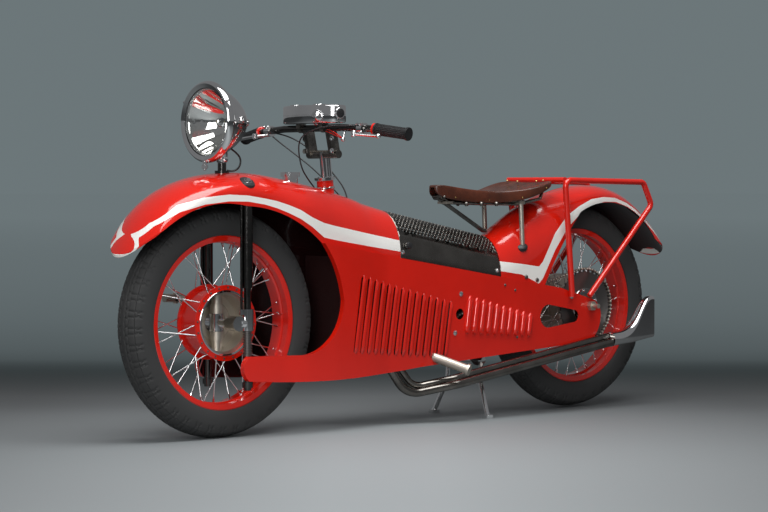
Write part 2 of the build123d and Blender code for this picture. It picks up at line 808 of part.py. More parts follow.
def headlamp_rim():
    plane = Plane(origin=(lamp_x, 0, lamp_z), x_dir=(0, 1, 0), z_dir=(0, 0, -1))
    edge = lamp_glass_radius
    profile = [Line((edge, 0), (108, 0)), Line((108, 0), (108, -20)), Line((108, -20), (lamp_rim_radius - 6, -20)),
               ThreePointArc((lamp_rim_radius - 6, -20), (lamp_rim_radius, -6), (lamp_rim_radius - 8, 8)),
               Line((lamp_rim_radius - 8, 8), (edge, 3)), Line((edge, 3), (edge, 0))]
    return revolve(plane * make_face(profile), Axis((lamp_x, 0, lamp_z), (1, 0, 0)))


def cap_arc(edge, rise, base):
    """Arc of a shallow dome from its edge in to the axis."""
    big = (edge ** 2 + rise ** 2) / (2 * rise)
    mid = edge / 2
    return ThreePointArc((edge, base), (mid, base + sqrt(big ** 2 - mid ** 2) - big + rise), (0, base + rise))


def headlamp_glass():
    """Slightly domed front glass, seated in the bezel."""
    plane = Plane(origin=(lamp_x, 0, lamp_z), x_dir=(0, 1, 0), z_dir=(0, 0, -1))
    edge = lamp_glass_radius
    profile = [cap_arc(edge, lamp_glass_dome, 3), cap_arc(edge, lamp_glass_dome, 0),
               Line((edge, 0), (edge, 3)), Line((0, lamp_glass_dome), (0, lamp_glass_dome + 3))]
    return revolve(plane * make_face(profile), Axis((lamp_x, 0, lamp_z), (1, 0, 0)))


def headlamp_stem():
    """Upright stem from the front shell to the lamp's bowl."""
    x = lamp_x - 60
    low = crest_z(x) - 20
    stem = rod((x, 0, low), (x, 0, lamp_z - 60), 13)
    stem += rod((x, 0, low), (x, 0, crest_z(x) + 8), 22)
    stem -= front_shell()
    stem -= headlamp()
    return max(stem.solids(), key=lambda solid: solid.volume)


def filler_cap():
    top = crest_z(filler_x) + filler_rise
    cap = rod((filler_x, 0, top - 40), (filler_x, 0, top - 6), filler_neck_radius)
    return cap + rod((filler_x, 0, top - 6), (filler_x, 0, top + 8), filler_neck_radius + 6)


# Handlebar body

def steering_column():
    """Column from the drop arm up to the bars, with the rod beside it."""
    low = lean_point(drop_arm_z - 14)
    collar = lean_point(column_axis_z + 26)
    top = lean_point(yoke_z + 8)
    column = rod(low, top, column_tube_radius)
    column += rod(collar, lean_point(column_axis_z + 34), 32)
    back = Vector(-22, 0, 0)
    column += rod(lean_point(column_axis_z + 30) + back, top + back, 7)
    ball = rear_ball_point()
    arm_root = lean_point(drop_arm_z)
    knee = Vector(ball.X, -link_y + 30, drop_arm_z)
    column += rod(arm_root, knee, 9) + Pos(*knee) * Sphere(9)
    column += rod(ball + Vector(0, 30, 0), ball + Vector(0, 23, 0), 8)
    column += rod(ball + Vector(0, 26, 0), ball, 4) + Pos(*ball) * Sphere(ball_radius)
    return column


def column_collar():
    """Gland on the front shell that the column turns in."""
    collar = rod(lean_point(column_axis_z - 30), lean_point(column_axis_z + 24), collar_radius)
    return collar - rod(lean_point(column_axis_z - 60), lean_point(column_axis_z + 60),
                        column_tube_radius + running_gap)


def handlebar_yoke():
    """Lower cross piece and two pillars that carry the bars."""
    centre = lean_point(yoke_z)
    x = centre.X
    cross = disc(x - 4, yoke_z, 13, -72, 72)
    cross -= rod(lean_point(yoke_z - 40), lean_point(yoke_z + 8), column_tube_radius)
    cross -= rod(lean_point(yoke_z - 40) + Vector(-22, 0, 0), lean_point(yoke_z + 8) + Vector(-22, 0, 0), 7)
    yoke = cross
    for side in (1, -1):
        y = side * 54
        pillar = Pos(x + 6, y, (yoke_z + bar_z) / 2) * Rot(0, 12, 0) * Box(32, 18, bar_z - yoke_z + 6)
        yoke += pillar
        yoke += disc(bar_x, bar_z, bar_radius + 3, y - 9, y + 9)
        yoke += Pos(bar_x + 4, y, (bar_z + housing_z - housing_half) / 2) * Box(26, 18, housing_z - housing_half - bar_z)
    return yoke - disc(bar_x, bar_z, bar_radius, -120, 120)


def bar_points():
    tip = bar_half_width - 4
    root = bar_half_width - grip_straight
    return [(bar_x - 42, tip, bar_z - 24), (bar_x - 13, root, bar_z - 7),
            (bar_x, 140, bar_z), (bar_x, -140, bar_z),
            (bar_x - 13, -root, bar_z - 7), (bar_x - 42, -tip, bar_z - 24)]


def handlebar():
    return bent_tube(bar_points(), 90, bar_radius)


def grips():
    made = []
    for side in (1, -1):
        outer = Vector(*bar_points()[0 if side > 0 else -1])
        inner = Vector(*bar_points()[1 if side > 0 else -2])
        way = (outer - inner).normalized()
        end = outer + way * 4
        grip = rod(end - way * grip_length, end, grip_radius)
        grip += rod(end - way * 8, end, grip_radius + 3)
        grip += rod(end - way * grip_length, end - way * (grip_length - 6), grip_radius + 2)
        grip -= rod(inner - way * 40, outer, bar_radius)
        made.append(grip)
    return group(*made)


def instrument_housing():
    """Curved plated box ahead of the bars."""
    plan = make_face([ThreePointArc((housing_x - 32, -130), (housing_x + 48, 0), (housing_x - 32, 130)),
                      ThreePointArc((housing_x - 32, 130), (housing_x - 14, 0), (housing_x - 32, -130))])
    return extrude(Pos(0, 0, housing_z - housing_half) * plan, amount=2 * housing_half)


def control_levers():
    """Clamps on the bars with a lever blade each."""
    made = []
    for side in (1, -1):
        clamp = disc(bar_x - 8, bar_z - 5, 17, side * 225 - 12, side * 225 + 12)
        blade = rod((bar_x - 4, side * 225, bar_z - 18), (bar_x + 40, side * 240, bar_z - 22), 5)
        blade += rod((bar_x + 40, side * 240, bar_z - 22), (bar_x + 30, side * 340, bar_z - 30), 5)
        blade += Pos(bar_x + 40, side * 240, bar_z - 22) * Sphere(5)
        made.append(clamp + blade - handlebar())
    return group(*made)


# Seat and rack

def saddle_leather():
    plan = make_face([Line((saddle_nose_x, -16), (saddle_nose_x, 16)),
                      ThreePointArc((saddle_nose_x, 16), (saddle_nose_x - 190, 52), (saddle_rear_x + 60, 128)),
                      ThreePointArc((saddle_rear_x + 60, 128), (saddle_rear_x, 0), (saddle_rear_x + 60, -128)),
                      ThreePointArc((saddle_rear_x + 60, -128), (saddle_nose_x - 190, -52), (saddle_nose_x, -16))])
    return extrude(Pos(0, 0, 708) * plan, amount=48)


def seat_rod(side):
    """Upright rod from inside the rear shell to the saddle's cross bar."""
    return rod((-412, side * 88, 560), (-405, side * 88, 700), 8)


def saddle_frame():
    frame = Pos((saddle_nose_x + saddle_rear_x) / 2, 0, 700) * Box(330, 40, 8)
    frame += Pos(-405, 0, 700) * Box(24, 190, 12)
    for side in (1, -1):
        frame += seat_rod(side)
    return frame


def rear_rack():
    foot_y = plate_rear_y + rack_radius
    points = [(-618, foot_y, 384), (-566, 135, 774), (-950, 135, 768), (-992, 135, 690), (-702, foot_y, 384)]
    side_left = bent_tube(points, 22, rack_radius)
    cross = disc(-566, 774, 10, -135, 135)
    rack = side_left + mirrored(side_left) + cross
    return rack


# Exhaust, footrests and stand

# columns: X, Y, Z at each corner
outer_pipe_route = (
    (186.0, 82.0, 200.0),
    (108.0, 94.0, 93.0),
    (-66.0, 150.0, 122.0),
    (-777.0, 150.0, 225.5),
)
inner_pipe_route = (
    (140.0, 68.0, 204.0),
    (66.0, 76.0, 112.0),
    (-78.0, 126.0, 138.5),
    (-777.0, 126.0, 240.5),
)
# columns: X, lowest Z, highest Z, width across Y
fishtail_rows = (
    (-779.5, 209.0, 256.0, 54.0),
    (-850.0, 216.0, 266.0, 50.0),
    (-900.0, 221.0, 300.0, 42.0),
    (-938.0, 226.0, 350.0, 34.0),
    (-993.0, 233.0, 374.0, 24.0),
)
fishtail_y = 138.0


def exhaust_pipes():
    """Two pipes out of the left side's lower edge, side by side to the fishtail, on one hanger."""
    pipes = bent_tube(outer_pipe_route, 80, pipe_radius) + bent_tube(inner_pipe_route, 60, pipe_radius)
    low = Pos(-640, (plate_rear_y + 126) / 2, 219) * Box(26, 126 - plate_rear_y, 8)
    strap = Pos(-640, 138, 213) * Rot(0, 8.4, 0) * Box(26, 24, 10)
    return pipes + low + strap - engine_block()


def exhaust_fishtail():
    sections = []
    for x, low, high, width in fishtail_rows:
        plane = Plane(origin=(x, fishtail_y, (low + high) / 2), x_dir=(0, 1, 0), z_dir=(-1, 0, 0))
        sections.append(plane * RectangleRounded(width, high - low, min(width, high - low) * 0.45))
    return loft(sections)


def footrests():
    """Round pegs that lean out, back and down from the plates."""
    face_y = plate_waist_y + 0.7
    peg = rod((-3, 96, 209), (-59, 208, 170), 15)
    peg += rod((-55, 201, 172.5), (-59, 208, 170), 19)
    peg &= Pos(-30, face_y + 100, 190) * Box(200, 200, 200)
    return group(peg, mirrored(peg))


def centre_stand():
    """Two splayed legs under one cross tube that turns at its ends."""
    stand = disc(stand_pivot_x, stand_pivot_z, stand_tube_radius + 2, -stand_top_y - 10, stand_top_y + 10)
    for side in (1, -1):
        top = Vector(stand_pivot_x, side * stand_top_y, stand_pivot_z)
        knee = Vector(stand_pivot_x + 6, side * stand_top_y, stand_knee_z)
        foot = Vector(stand_foot_x, side * stand_half_width, stand_tube_radius)
        stand += rod(top, knee, stand_tube_radius) + Pos(*knee) * Sphere(stand_tube_radius)
        stand += rod(knee, foot, stand_tube_radius)
        stand += Pos(stand_foot_x, side * stand_half_width, 6) * Box(28, 22, 12)
    return stand


def export(name, solid):
    export_step(solid, os.path.join("parts", name + ".step"))
    print(name, len(solid.solids()), round(solid.volume / 1000.0, 1))


def main():
    os.makedirs("parts", exist_ok=True)
    front_wheel_rim = rim(front_x, front_z)
    rear_wheel_rim = rim(rear_x, rear_z)
    hub = front_hub()
    back_hub = rear_hub()
    front_spokes = spokes(front_x, front_z, hub_flange_radius - 6, hub_flange_y - hub_flange_wall / 2,
                          1.0, 14, hub, front_wheel_rim)
    rear_spokes = spokes(rear_x, rear_z, rear_flange_radius - 6, rear_flange_y + 4,
                         2.0, 40, back_hub, rear_wheel_rim)
    export("side_frame_left", side_plate(0))
    export("side_frame_right", mirrored(side_plate(1)))
    export("front_shell", front_shell())
    export("rear_shell", rear_shell())
    export("perforated_cover", perforated_cover())
    export("front_tyre", tyre(front_x, front_z))
    export("rear_tyre", tyre(rear_x, rear_z))
    export("front_rim", front_wheel_rim)
    export("rear_rim", rear_wheel_rim)
    export("front_spokes", front_spokes)
    export("rear_spokes", rear_spokes)
    export("front_hub", hub)
    export("rear_hub", back_hub)
    export("rear_sprocket", rear_sprocket())
    export("hub_carrier", hub_carrier())
    export("steering_arm", steering_arm())
    export("front_axle", front_axle())
    export("drag_link", drag_link())
    export("fork_columns", fork_columns())
    export("fork_sliders", fork_sliders())
    export("rebound_springs", rebound_springs())
    export("drive_chain", drive_chain())
    export("rear_axle", rear_axle())
    export("engine_block", engine_block())
    export("cross_members", cross_members())
    export("headlamp_bowl", headlamp())
    export("headlamp_rim", headlamp_rim())
    export("headlamp_glass", headlamp_glass())
    export("headlamp_stem", headlamp_stem())
    export("filler_cap", filler_cap())
    export("steering_column", steering_column())
    export("column_collar", column_collar())
    export("handlebar_yoke", handlebar_yoke())
    export("handlebar", handlebar())
    export("grips", grips())
    export("instrument_housing", instrument_housing())
    export("control_levers", control_levers())
    export("saddle_leather", saddle_leather())
    export("saddle_frame", saddle_frame())
    export("rear_rack", rear_rack())
    export("exhaust_pipes", exhaust_pipes())
    export("exhaust_fishtail", exhaust_fishtail())
    export("footrests", footrests())
    export("centre_stand", centre_stand())


main()
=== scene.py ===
import math

import bmesh
import bpy
from bpy.props import FloatProperty, FloatVectorProperty, IntProperty, PointerProperty
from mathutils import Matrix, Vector


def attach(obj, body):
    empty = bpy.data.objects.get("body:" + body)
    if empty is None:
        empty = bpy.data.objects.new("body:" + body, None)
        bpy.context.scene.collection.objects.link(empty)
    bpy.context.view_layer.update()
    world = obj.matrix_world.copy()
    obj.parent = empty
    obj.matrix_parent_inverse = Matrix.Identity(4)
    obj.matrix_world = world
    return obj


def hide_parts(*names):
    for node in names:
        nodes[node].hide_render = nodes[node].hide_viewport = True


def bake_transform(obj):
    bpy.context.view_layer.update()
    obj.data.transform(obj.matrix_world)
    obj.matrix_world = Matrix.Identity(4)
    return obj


bl_info = {
    "name": "Enclosed-body motorcycle finishing",
    "version": (1, 0, 0),
    "blender": (4, 5, 0),
    "location": "3D View > Sidebar > Motorcycle",
    "description": "Dresses the packed motorcycle with its paint, plating, tread, leather, cables "
                   "and fittings",
    "category": "Object",
}

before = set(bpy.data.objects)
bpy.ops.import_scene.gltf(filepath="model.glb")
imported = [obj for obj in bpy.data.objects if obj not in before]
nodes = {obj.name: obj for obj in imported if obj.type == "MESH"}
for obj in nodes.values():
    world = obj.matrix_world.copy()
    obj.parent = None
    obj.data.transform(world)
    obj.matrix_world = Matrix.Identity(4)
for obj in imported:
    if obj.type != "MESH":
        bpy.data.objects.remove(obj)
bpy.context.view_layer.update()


# Sizes and colours a user would change

class PaintSettings(bpy.types.PropertyGroup):
    red: FloatVectorProperty(name="Red enamel", description="Body colour", subtype="COLOR",
                             size=3, min=0, max=1, default=(0.66, 0.012, 0.004))
    white: FloatVectorProperty(name="Stripe white", description="Colour of the painted stripe",
                               subtype="COLOR", size=3, min=0, max=1, default=(0.86, 0.84, 0.80))
    orange_peel: FloatProperty(name="Orange peel", description="Strength of the paint's faint waviness",
                               default=0.02, min=0, max=1, subtype="FACTOR")
    # Painted shade: a dull dark red that stands for the shade on the inner faces of the red plates and shells
    # and on the cross members
    inside: FloatVectorProperty(name="Inside", description="Dull colour inside plates and shells",
                                subtype="COLOR", size=3, min=0, max=1, default=(0.022, 0.006, 0.006))


class MetalSettings(bpy.types.PropertyGroup):
    nickel: FloatVectorProperty(name="Nickel", description="Colour of the aged nickel plate", subtype="COLOR",
                                size=3, min=0, max=1, default=(0.46, 0.43, 0.39))
    chrome: FloatVectorProperty(name="Chrome", description="Colour of the bright plate", subtype="COLOR",
                                size=3, min=0, max=1, default=(0.80, 0.80, 0.80))
    dark_steel: FloatVectorProperty(name="Dark steel", description="Colour of oiled bare steel",
                                    subtype="COLOR", size=3, min=0, max=1, default=(0.10, 0.095, 0.09))


class FittingSettings(bpy.types.PropertyGroup):
    hood_rise: FloatProperty(name="Hood rise", description="Height of a louvre's hood above the plate",
                             default=0.008, min=0.001, unit="LENGTH")
    hole_pitch: FloatProperty(name="Hole pitch", description="Lattice step of the perforated cover's holes",
                              default=0.0072, min=0.003, unit="LENGTH")
    tread_depth: FloatProperty(name="Tread depth", description="Depth of the tyre's grooves",
                               default=0.0035, min=0, unit="LENGTH")
    tread_blocks: IntProperty(name="Tread blocks", description="Blocks round each tyre", default=84, min=10)
    leather: FloatVectorProperty(name="Leather", description="Colour of the saddle", subtype="COLOR",
                                 size=3, min=0, max=1, default=(0.080, 0.021, 0.010))
    cable_width: FloatProperty(name="Cable", description="Radius of the control cables' sheaths",
                               default=0.0022, min=0.0005, unit="LENGTH")


class StageSettings(bpy.types.PropertyGroup):
    floor_shade: FloatVectorProperty(name="Floor", description="Floor colour", subtype="COLOR",
                                     size=3, min=0, max=1, default=(0.31, 0.335, 0.345))
    backdrop_shade: FloatVectorProperty(name="Backdrop", description="Colour behind the machine",
                                        subtype="COLOR", size=3, min=0, max=1, default=(0.150, 0.183, 0.192))
    key_power: FloatProperty(name="Key light", description="Power of the large softbox overhead",
                             default=200.0, min=0, unit="POWER")
    side_power: FloatProperty(name="Side light", description="Power of the softbox beside the camera",
                              default=115.0, min=0, unit="POWER")


# The machine's own numbers, as the CAD has them, in metres

AXLE_FRONT = Vector((0.7875, 0, 0.345))
AXLE_REAR = Vector((-0.7175, 0, 0.349))
LAMP = Vector((0.8265, 0, 0.944))
COLUMN_TOP = Vector((0.362, 0, 0.747))
COLUMN_LEAN = math.radians(6)
SPOKES_A_SIDE = 20
SPOKE_STEP = 360 / SPOKES_A_SIDE
RIM_BED = 0.242
CHAIN_Y = 0.078
CHAIN_PITCH = 0.0127

LOUVRE_TILT = math.radians(9)
LOUVRE_UP = Vector((-math.sin(LOUVRE_TILT), 0, math.cos(LOUVRE_TILT)))
LOUVRE_BACK = Vector((-math.cos(LOUVRE_TILT), 0, -math.sin(LOUVRE_TILT)))
# Columns: first middle X and Z, count, pitch, first height, last height
OPEN_LOUVRES = (0.3265, 0.355, 14, 0.030, 0.238, 0.176)
CLOSED_LOUVRES = (-0.1505, 0.339, 10, 0.031, 0.118, 0.072)
# On the right plate the drag link's opening takes the place of the louvres between these X
LINK_OPENING = (0.235, 0.345)

# Side plates' outer face. Columns: X, Y
PLATE_FACE = ((0.4225, 0.130), (0.1975, 0.105), (-0.8075, 0.108))

# Perforated cover's two ends. Columns: X, half width, shoulder Z, crest Z
COVER_ENDS = ((0.1395, 0.102, 0.536, 0.678), (-0.3025, 0.100, 0.462, 0.592))

# Stripe on the shells, in side view. Columns: X, lower edge Z, upper edge Z
FRONT_STRIPE = (
    (0.130, 0.546, 0.581), (0.269, 0.566, 0.605), (0.415, 0.588, 0.631), (0.463, 0.597, 0.641),
    (0.510, 0.629, 0.658), (0.557, 0.654, 0.681), (0.604, 0.672, 0.696), (0.650, 0.687, 0.708),
    (0.696, 0.698, 0.716), (0.760, 0.707, 0.725), (0.831, 0.708, 0.728), (0.919, 0.699, 0.720),
    (1.005, 0.678, 0.698), (1.039, 0.661, 0.674), (1.079, 0.636, 0.646), (1.112, 0.603, 0.612),
    (1.122, 0.578, 0.587), (1.134, 0.553, 0.562), (1.146, 0.546, 0.554),
)
REAR_STRIPE = (
    (-1.146, 0.512, 0.523), (-1.100, 0.545, 0.556), (-1.040, 0.592, 0.604), (-0.980, 0.638, 0.651),
    (-0.940, 0.664, 0.677), (-0.902, 0.683, 0.696), (-0.842, 0.700, 0.714), (-0.783, 0.701, 0.717),
    (-0.723, 0.688, 0.710), (-0.665, 0.660, 0.687), (-0.607, 0.615, 0.655), (-0.550, 0.541, 0.597),
    (-0.494, 0.447, 0.503), (-0.476, 0.430, 0.487), (-0.400, 0.462, 0.497), (-0.300, 0.476, 0.508),
)

# Saddle. Columns: X, half width, middle Z, lift towards the sides, lower edge Z
SADDLE_ROWS = (
    (-0.086, 0.010, 0.750, 0.000, 0.742),
    (-0.092, 0.021, 0.757, -0.001, 0.727),
    (-0.112, 0.029, 0.759, -0.002, 0.716),
    (-0.160, 0.035, 0.752, -0.002, 0.706),
    (-0.220, 0.043, 0.743, 0.000, 0.700),
    (-0.290, 0.058, 0.735, 0.004, 0.697),
    (-0.345, 0.080, 0.732, 0.010, 0.699),
    (-0.395, 0.108, 0.734, 0.016, 0.706),
    (-0.440, 0.127, 0.740, 0.020, 0.720),
    (-0.480, 0.134, 0.748, 0.021, 0.738),
    (-0.510, 0.128, 0.757, 0.018, 0.752),
    (-0.530, 0.108, 0.764, 0.012, 0.760),
    (-0.540, 0.070, 0.768, 0.004, 0.764),
)

# Fittings on both sides. Columns: node, X, Z, kind, radius
SIDE_FITTINGS = (
    ("side_frame_left", -0.117, 0.407, "bolt", 0.0055), ("side_frame_left", -0.091, 0.282, "bolt", 0.0055),
    ("rear_shell", -0.417, 0.454, "stud", 0.0075), ("rear_shell", -0.467, 0.443, "stud", 0.0075),
    ("side_frame_left", -0.627, 0.385, "bolt", 0.0065), ("side_frame_left", -0.315, 0.430, "stud", 0.0045),
    ("side_frame_left", -0.361, 0.412, "stud", 0.0045), ("side_frame_left", -0.370, 0.257, "stud", 0.0045),
    ("perforated_cover", 0.109, 0.565, "knob", 0.011), ("perforated_cover", 0.131, 0.545, "bolt", 0.0050),
    ("perforated_cover", -0.285, 0.478, "bolt", 0.0050),
)

# Control cables from a lever to the column's foot: two from the right, one from the left
CABLE_ROUTES = (
    ((0.404, -0.230, 0.922), (0.392, -0.212, 0.902), (0.347, -0.163, 0.852), (0.322, -0.115, 0.812),
     (0.308, -0.067, 0.772), (0.306, -0.018, 0.738), (0.305, 0.015, 0.712)),
    ((0.420, -0.215, 0.924), (0.413, -0.157, 0.918), (0.382, -0.110, 0.896), (0.342, -0.063, 0.851),
     (0.313, -0.017, 0.790), (0.296, 0.018, 0.742), (0.294, 0.024, 0.712)),
    ((0.412, 0.200, 0.936), (0.450, 0.130, 0.940), (0.486, 0.070, 0.922), (0.499, 0.030, 0.892),
     (0.468, 0.007, 0.812), (0.420, -0.011, 0.770), (0.372, -0.034, 0.742), (0.352, -0.040, 0.705)),
)
LEVER_WIRES = (
    ((0.424, 0.030, 0.948), (0.418, 0.060, 0.930), (0.424, 0.110, 0.922), (0.424, 0.152, 0.900)),
    ((0.420, 0.010, 0.948), (0.414, 0.050, 0.926), (0.420, 0.100, 0.914), (0.424, 0.158, 0.896)),
)
LAMP_WIRE = ((0.742, 0.004, 0.868), (0.722, 0.006, 0.858), (0.700, 0.008, 0.836), (0.706, 0.008, 0.808),
             (0.730, 0.005, 0.796), (0.748, 0.003, 0.800))

# Instrument case from the bottom up. Columns: Z, how far the outline is pulled in
CASE_RINGS = (
    (0.9460, 0.0070), (0.9468, 0.0030), (0.9490, 0.0008), (0.9510, 0), (0.9700, 0), (0.9706, 0.0009),
    (0.9718, 0.0009), (0.9724, 0), (0.9965, 0), (0.9990, 0.0010), (1.0010, 0.0035), (1.0020, 0.0085),
)

CAMERA_PLACE = Vector((4.9963, 5.5376, 0.7443))
CAMERA_YAW = math.radians(41.368)
CAMERA_PITCH = math.radians(-1.6546)
# Painted shade on the floor, darkening it towards the sweep, by distance from the camera's foot along its
# line of sight: distance, share of the floor colour
FLOOR_PAINTED_SHADE = ((4.0, 0.92), (5.5, 0.96), (6.4, 1.0), (6.9, 0.92), (7.5, 0.74), (8.2, 0.40), (9.0, 0.30))
# Painted shade on the sweep behind the machine, darkest at its foot: distance, share of the backdrop colour
SWEEP_PAINTED_SHADE = ((8.3, 0.22), (9.0, 0.22), (10.1, 0.46), (11.4, 0.62), (15.5, 0.77), (28.0, 0.86), (60.0, 0.98))


# Mesh helpers

def link_piece(name, mesh, body, mat, smooth=38):
    """Links a mesh as a piece with its finish and slot; it rides on the body if one is named."""
    obj = bpy.data.objects.new(name, mesh)
    bpy.context.scene.collection.objects.link(obj)
    mesh.materials.clear()
    mesh.materials.append(finish(mat))
    mesh.shade_smooth()
    mesh.set_sharp_from_angle(angle=math.radians(smooth))
    if body:
        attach(obj, body)
    return obj


def add_piece(name, bm, body, mat, smooth=38):
    """Turns a finished bmesh into a piece."""
    bmesh.ops.recalc_face_normals(bm, faces=bm.faces)
    mesh = bpy.data.meshes.new(name)
    bm.to_mesh(mesh)
    bm.free()
    return link_piece(name, mesh, body, mat, smooth)


def add_wall(obj, thickness, name="wall"):
    """Gives a sheet its thickness, inwards."""
    wall = obj.modifiers.new(name, "SOLIDIFY")
    wall.thickness = thickness
    wall.offset = -1


def skin_rows(bm, rows, closed=False, caps=False):
    """Quads between rows of points; closed joins each row's ends, caps fills the first and last row."""
    made = [[bm.verts.new(point) for point in row] for row in rows]
    for low, high in zip(made, made[1:]):
        count = len(low)
        for index in range(count if closed else count - 1):
            after = (index + 1) % count
            bm.faces.new((low[index], low[after], high[after], high[index]))
    if caps:
        bm.faces.new(made[0])
        bm.faces.new(list(reversed(made[-1])))


def turns(count, start=0.0):
    """Angles spaced evenly round a full turn."""
    return [start + 2 * math.pi * index / count for index in range(count)]


def across(axis):
    """Two directions square to an axis and to each other."""
    axis = Vector(axis).normalized()
    helper = Vector((0, 0, 1)) if abs(axis.z) < 0.9 else Vector((1, 0, 0))
    first = axis.cross(helper).normalized()
    return first, axis.cross(first)


def circle(place, axis, radius, along, count):
    """Points of a circle round an axis, at a distance along it."""
    axis = Vector(axis).normalized()
    first, second = across(axis)
    centre = Vector(place) + axis * along
    return [centre + (first * math.cos(turn) + second * math.sin(turn)) * radius for turn in turns(count)]


def round_side(angle, radius, side_y=0.0):
    """Offset in the side view's plane at an angle, with a sideways part."""
    return Vector((radius * math.cos(angle), side_y, radius * math.sin(angle)))


def add_turned(bm, place, axis, profile, count=20):
    """Body of revolution: profile rows are (radius, distance along the axis from place)."""
    pointed = 0.00002
    skin_rows(bm, [circle(place, axis, max(radius, pointed), along, count) for radius, along in profile],
              closed=True, caps=True)


def add_band(bm, place, axis, inner, outer, low, high, count=40):
    """Flat ring with a hole and softened outer edges."""
    soft = (high - low) * 0.25
    profile = ((inner, low), (outer - soft, low), (outer, low + soft), (outer, high - soft),
               (outer - soft, high), (inner, high), (inner, low))
    skin_rows(bm, [circle(place, axis, radius, along, count) for radius, along in profile], closed=True)
    bmesh.ops.remove_doubles(bm, verts=bm.verts, dist=0.000001)


def add_bolt(bm, place, axis, radius):
    """Hexagon head on a washer, with a rounded top."""
    washer = radius * 1.5
    add_turned(bm, place, axis, ((washer, -0.0005), (washer, 0.0012), (radius * 1.2, 0.0014)), 16)
    add_turned(bm, place, axis, ((radius * 1.1, 0.001), (radius * 1.1, radius * 0.7),
                                 (radius * 0.85, radius * 0.95), (0.0, radius)), 6)


def add_stud(bm, place, axis, radius):
    """Small round rivet head."""
    add_turned(bm, place, axis, ((radius, -0.0005), (radius, radius * 0.15), (radius * 0.75, radius * 0.55),
                                 (0.0, radius * 0.75)), 10)


def add_bar(bm, start, end, radius, count=10):
    """Straight round bar with softened ends."""
    start, end = Vector(start), Vector(end)
    length = (end - start).length
    soft = min(radius * 0.4, length * 0.2)
    add_turned(bm, start, end - start, ((radius - soft, 0), (radius, soft), (radius, length - soft),
                                        (radius - soft, length)), count)


def add_ball(bm, centre, radius, count=16):
    bands = [math.pi * step / 8 for step in range(9)]
    add_turned(bm, centre, (0, 0, 1), [(radius * math.sin(b), -radius * math.cos(b)) for b in bands], count)


def curve_mesh(name, points, radius):
    """Mesh of a smooth round line through NURBS points."""
    curve = bpy.data.curves.new(name, "CURVE")
    curve.dimensions = "3D"
    curve.bevel_depth = radius
    curve.bevel_resolution = 3
    curve.resolution_u = 10
    curve.use_fill_caps = True
    spline = curve.splines.new("NURBS")
    spline.points.add(len(points) - 1)
    for target, point in zip(spline.points, points):
        target.co = (*point, 1)
    spline.order_u = 3
    spline.use_endpoint_u = True
    source = bpy.data.objects.new(name, curve)
    mesh = bpy.data.meshes.new_from_object(source)
    bpy.data.objects.remove(source)
    bpy.data.curves.remove(curve)
    return mesh


def touch(name, start, way):
    """Where a straight line from start first meets a CAD node, and the surface's direction there."""
    obj = nodes[name]
    place = obj.matrix_world
    inverse = place.inverted()
    found, spot, normal, _ = obj.ray_cast(inverse @ Vector(start), inverse.to_3x3() @ Vector(way))
    if not found:
        raise ValueError("nothing of " + name + " there")
    return place @ spot, (place.to_3x3() @ normal).normalized()


# Shader helpers

def new_material(name):
    mat = bpy.data.materials.new(name)
    mat.use_nodes = True
    tree = mat.node_tree
    return mat, tree, tree.nodes["Principled BSDF"]


def add_node(tree, kind, **values):
    node = tree.nodes.new(kind)
    for key, value in values.items():
        if key in node.inputs:
            node.inputs[key].default_value = value
        else:
            setattr(node, key, value)
    return node


def feed(tree, socket, value):
    """Links a socket, or sets a plain number or colour directly."""
    if isinstance(value, (int, float)):
        socket.default_value = value
    elif isinstance(value, tuple):
        socket.default_value = (*value, 1)
    else:
        tree.links.new(value, socket)


def noise_at(tree, scale, detail=4.0, roughness=0.5):
    coords = add_node(tree, "ShaderNodeTexCoord")
    noise = add_node(tree, "ShaderNodeTexNoise", Scale=scale, Detail=detail, Roughness=roughness)
    tree.links.new(coords.outputs["Object"], noise.inputs["Vector"])
    return noise.outputs["Fac"]


def ramp_between(tree, source, low, high, low_color, high_color):
    ramp = add_node(tree, "ShaderNodeValToRGB")
    for element, position, color in zip(ramp.color_ramp.elements, (low, high), (low_color, high_color)):
        element.position = position
        element.color = (*color, 1)
    tree.links.new(source, ramp.inputs["Fac"])
    return ramp.outputs["Color"]


def map_range(tree, source, from_low, from_high, to_low, to_high):
    node = add_node(tree, "ShaderNodeMapRange")
    for key, value in (("From Min", from_low), ("From Max", from_high), ("To Min", to_low),
                       ("To Max", to_high)):
        node.inputs[key].default_value = value
    tree.links.new(source, node.inputs["Value"])
    return node.outputs["Result"]


def bump_from(tree, source, strength, distance, shader):
    bump = add_node(tree, "ShaderNodeBump", Strength=strength, Distance=distance)
    tree.links.new(source, bump.inputs["Height"])
    tree.links.new(bump.outputs["Normal"], shader.inputs["Normal"])


def math_node(tree, operation, first, second=0):
    node = add_node(tree, "ShaderNodeMath", operation=operation)
    feed(tree, node.inputs[0], first)
    feed(tree, node.inputs[1], second)
    return node.outputs[0]


def mixed(tree, factor, first, second, blend="MIX"):
    """One colour or the other; either may be a socket or a plain colour."""
    node = add_node(tree, "ShaderNodeMix", data_type="RGBA", blend_type=blend)
    feed(tree, node.inputs[0], factor)
    feed(tree, node.inputs[6], first)
    feed(tree, node.inputs[7], second)
    return node.outputs[2]


def mix_shaders(tree, factor, first, second, output):
    """Joins two shaders into an output node."""
    mix = add_node(tree, "ShaderNodeMixShader")
    for socket, source in zip(mix.inputs, (factor, first, second)):
        tree.links.new(source, socket)
    tree.links.new(mix.outputs["Shader"], tree.nodes[output].inputs["Surface"])


def split_vector(tree, source):
    split = add_node(tree, "ShaderNodeSeparateXYZ")
    tree.links.new(source, split.inputs[0])
    return split.outputs


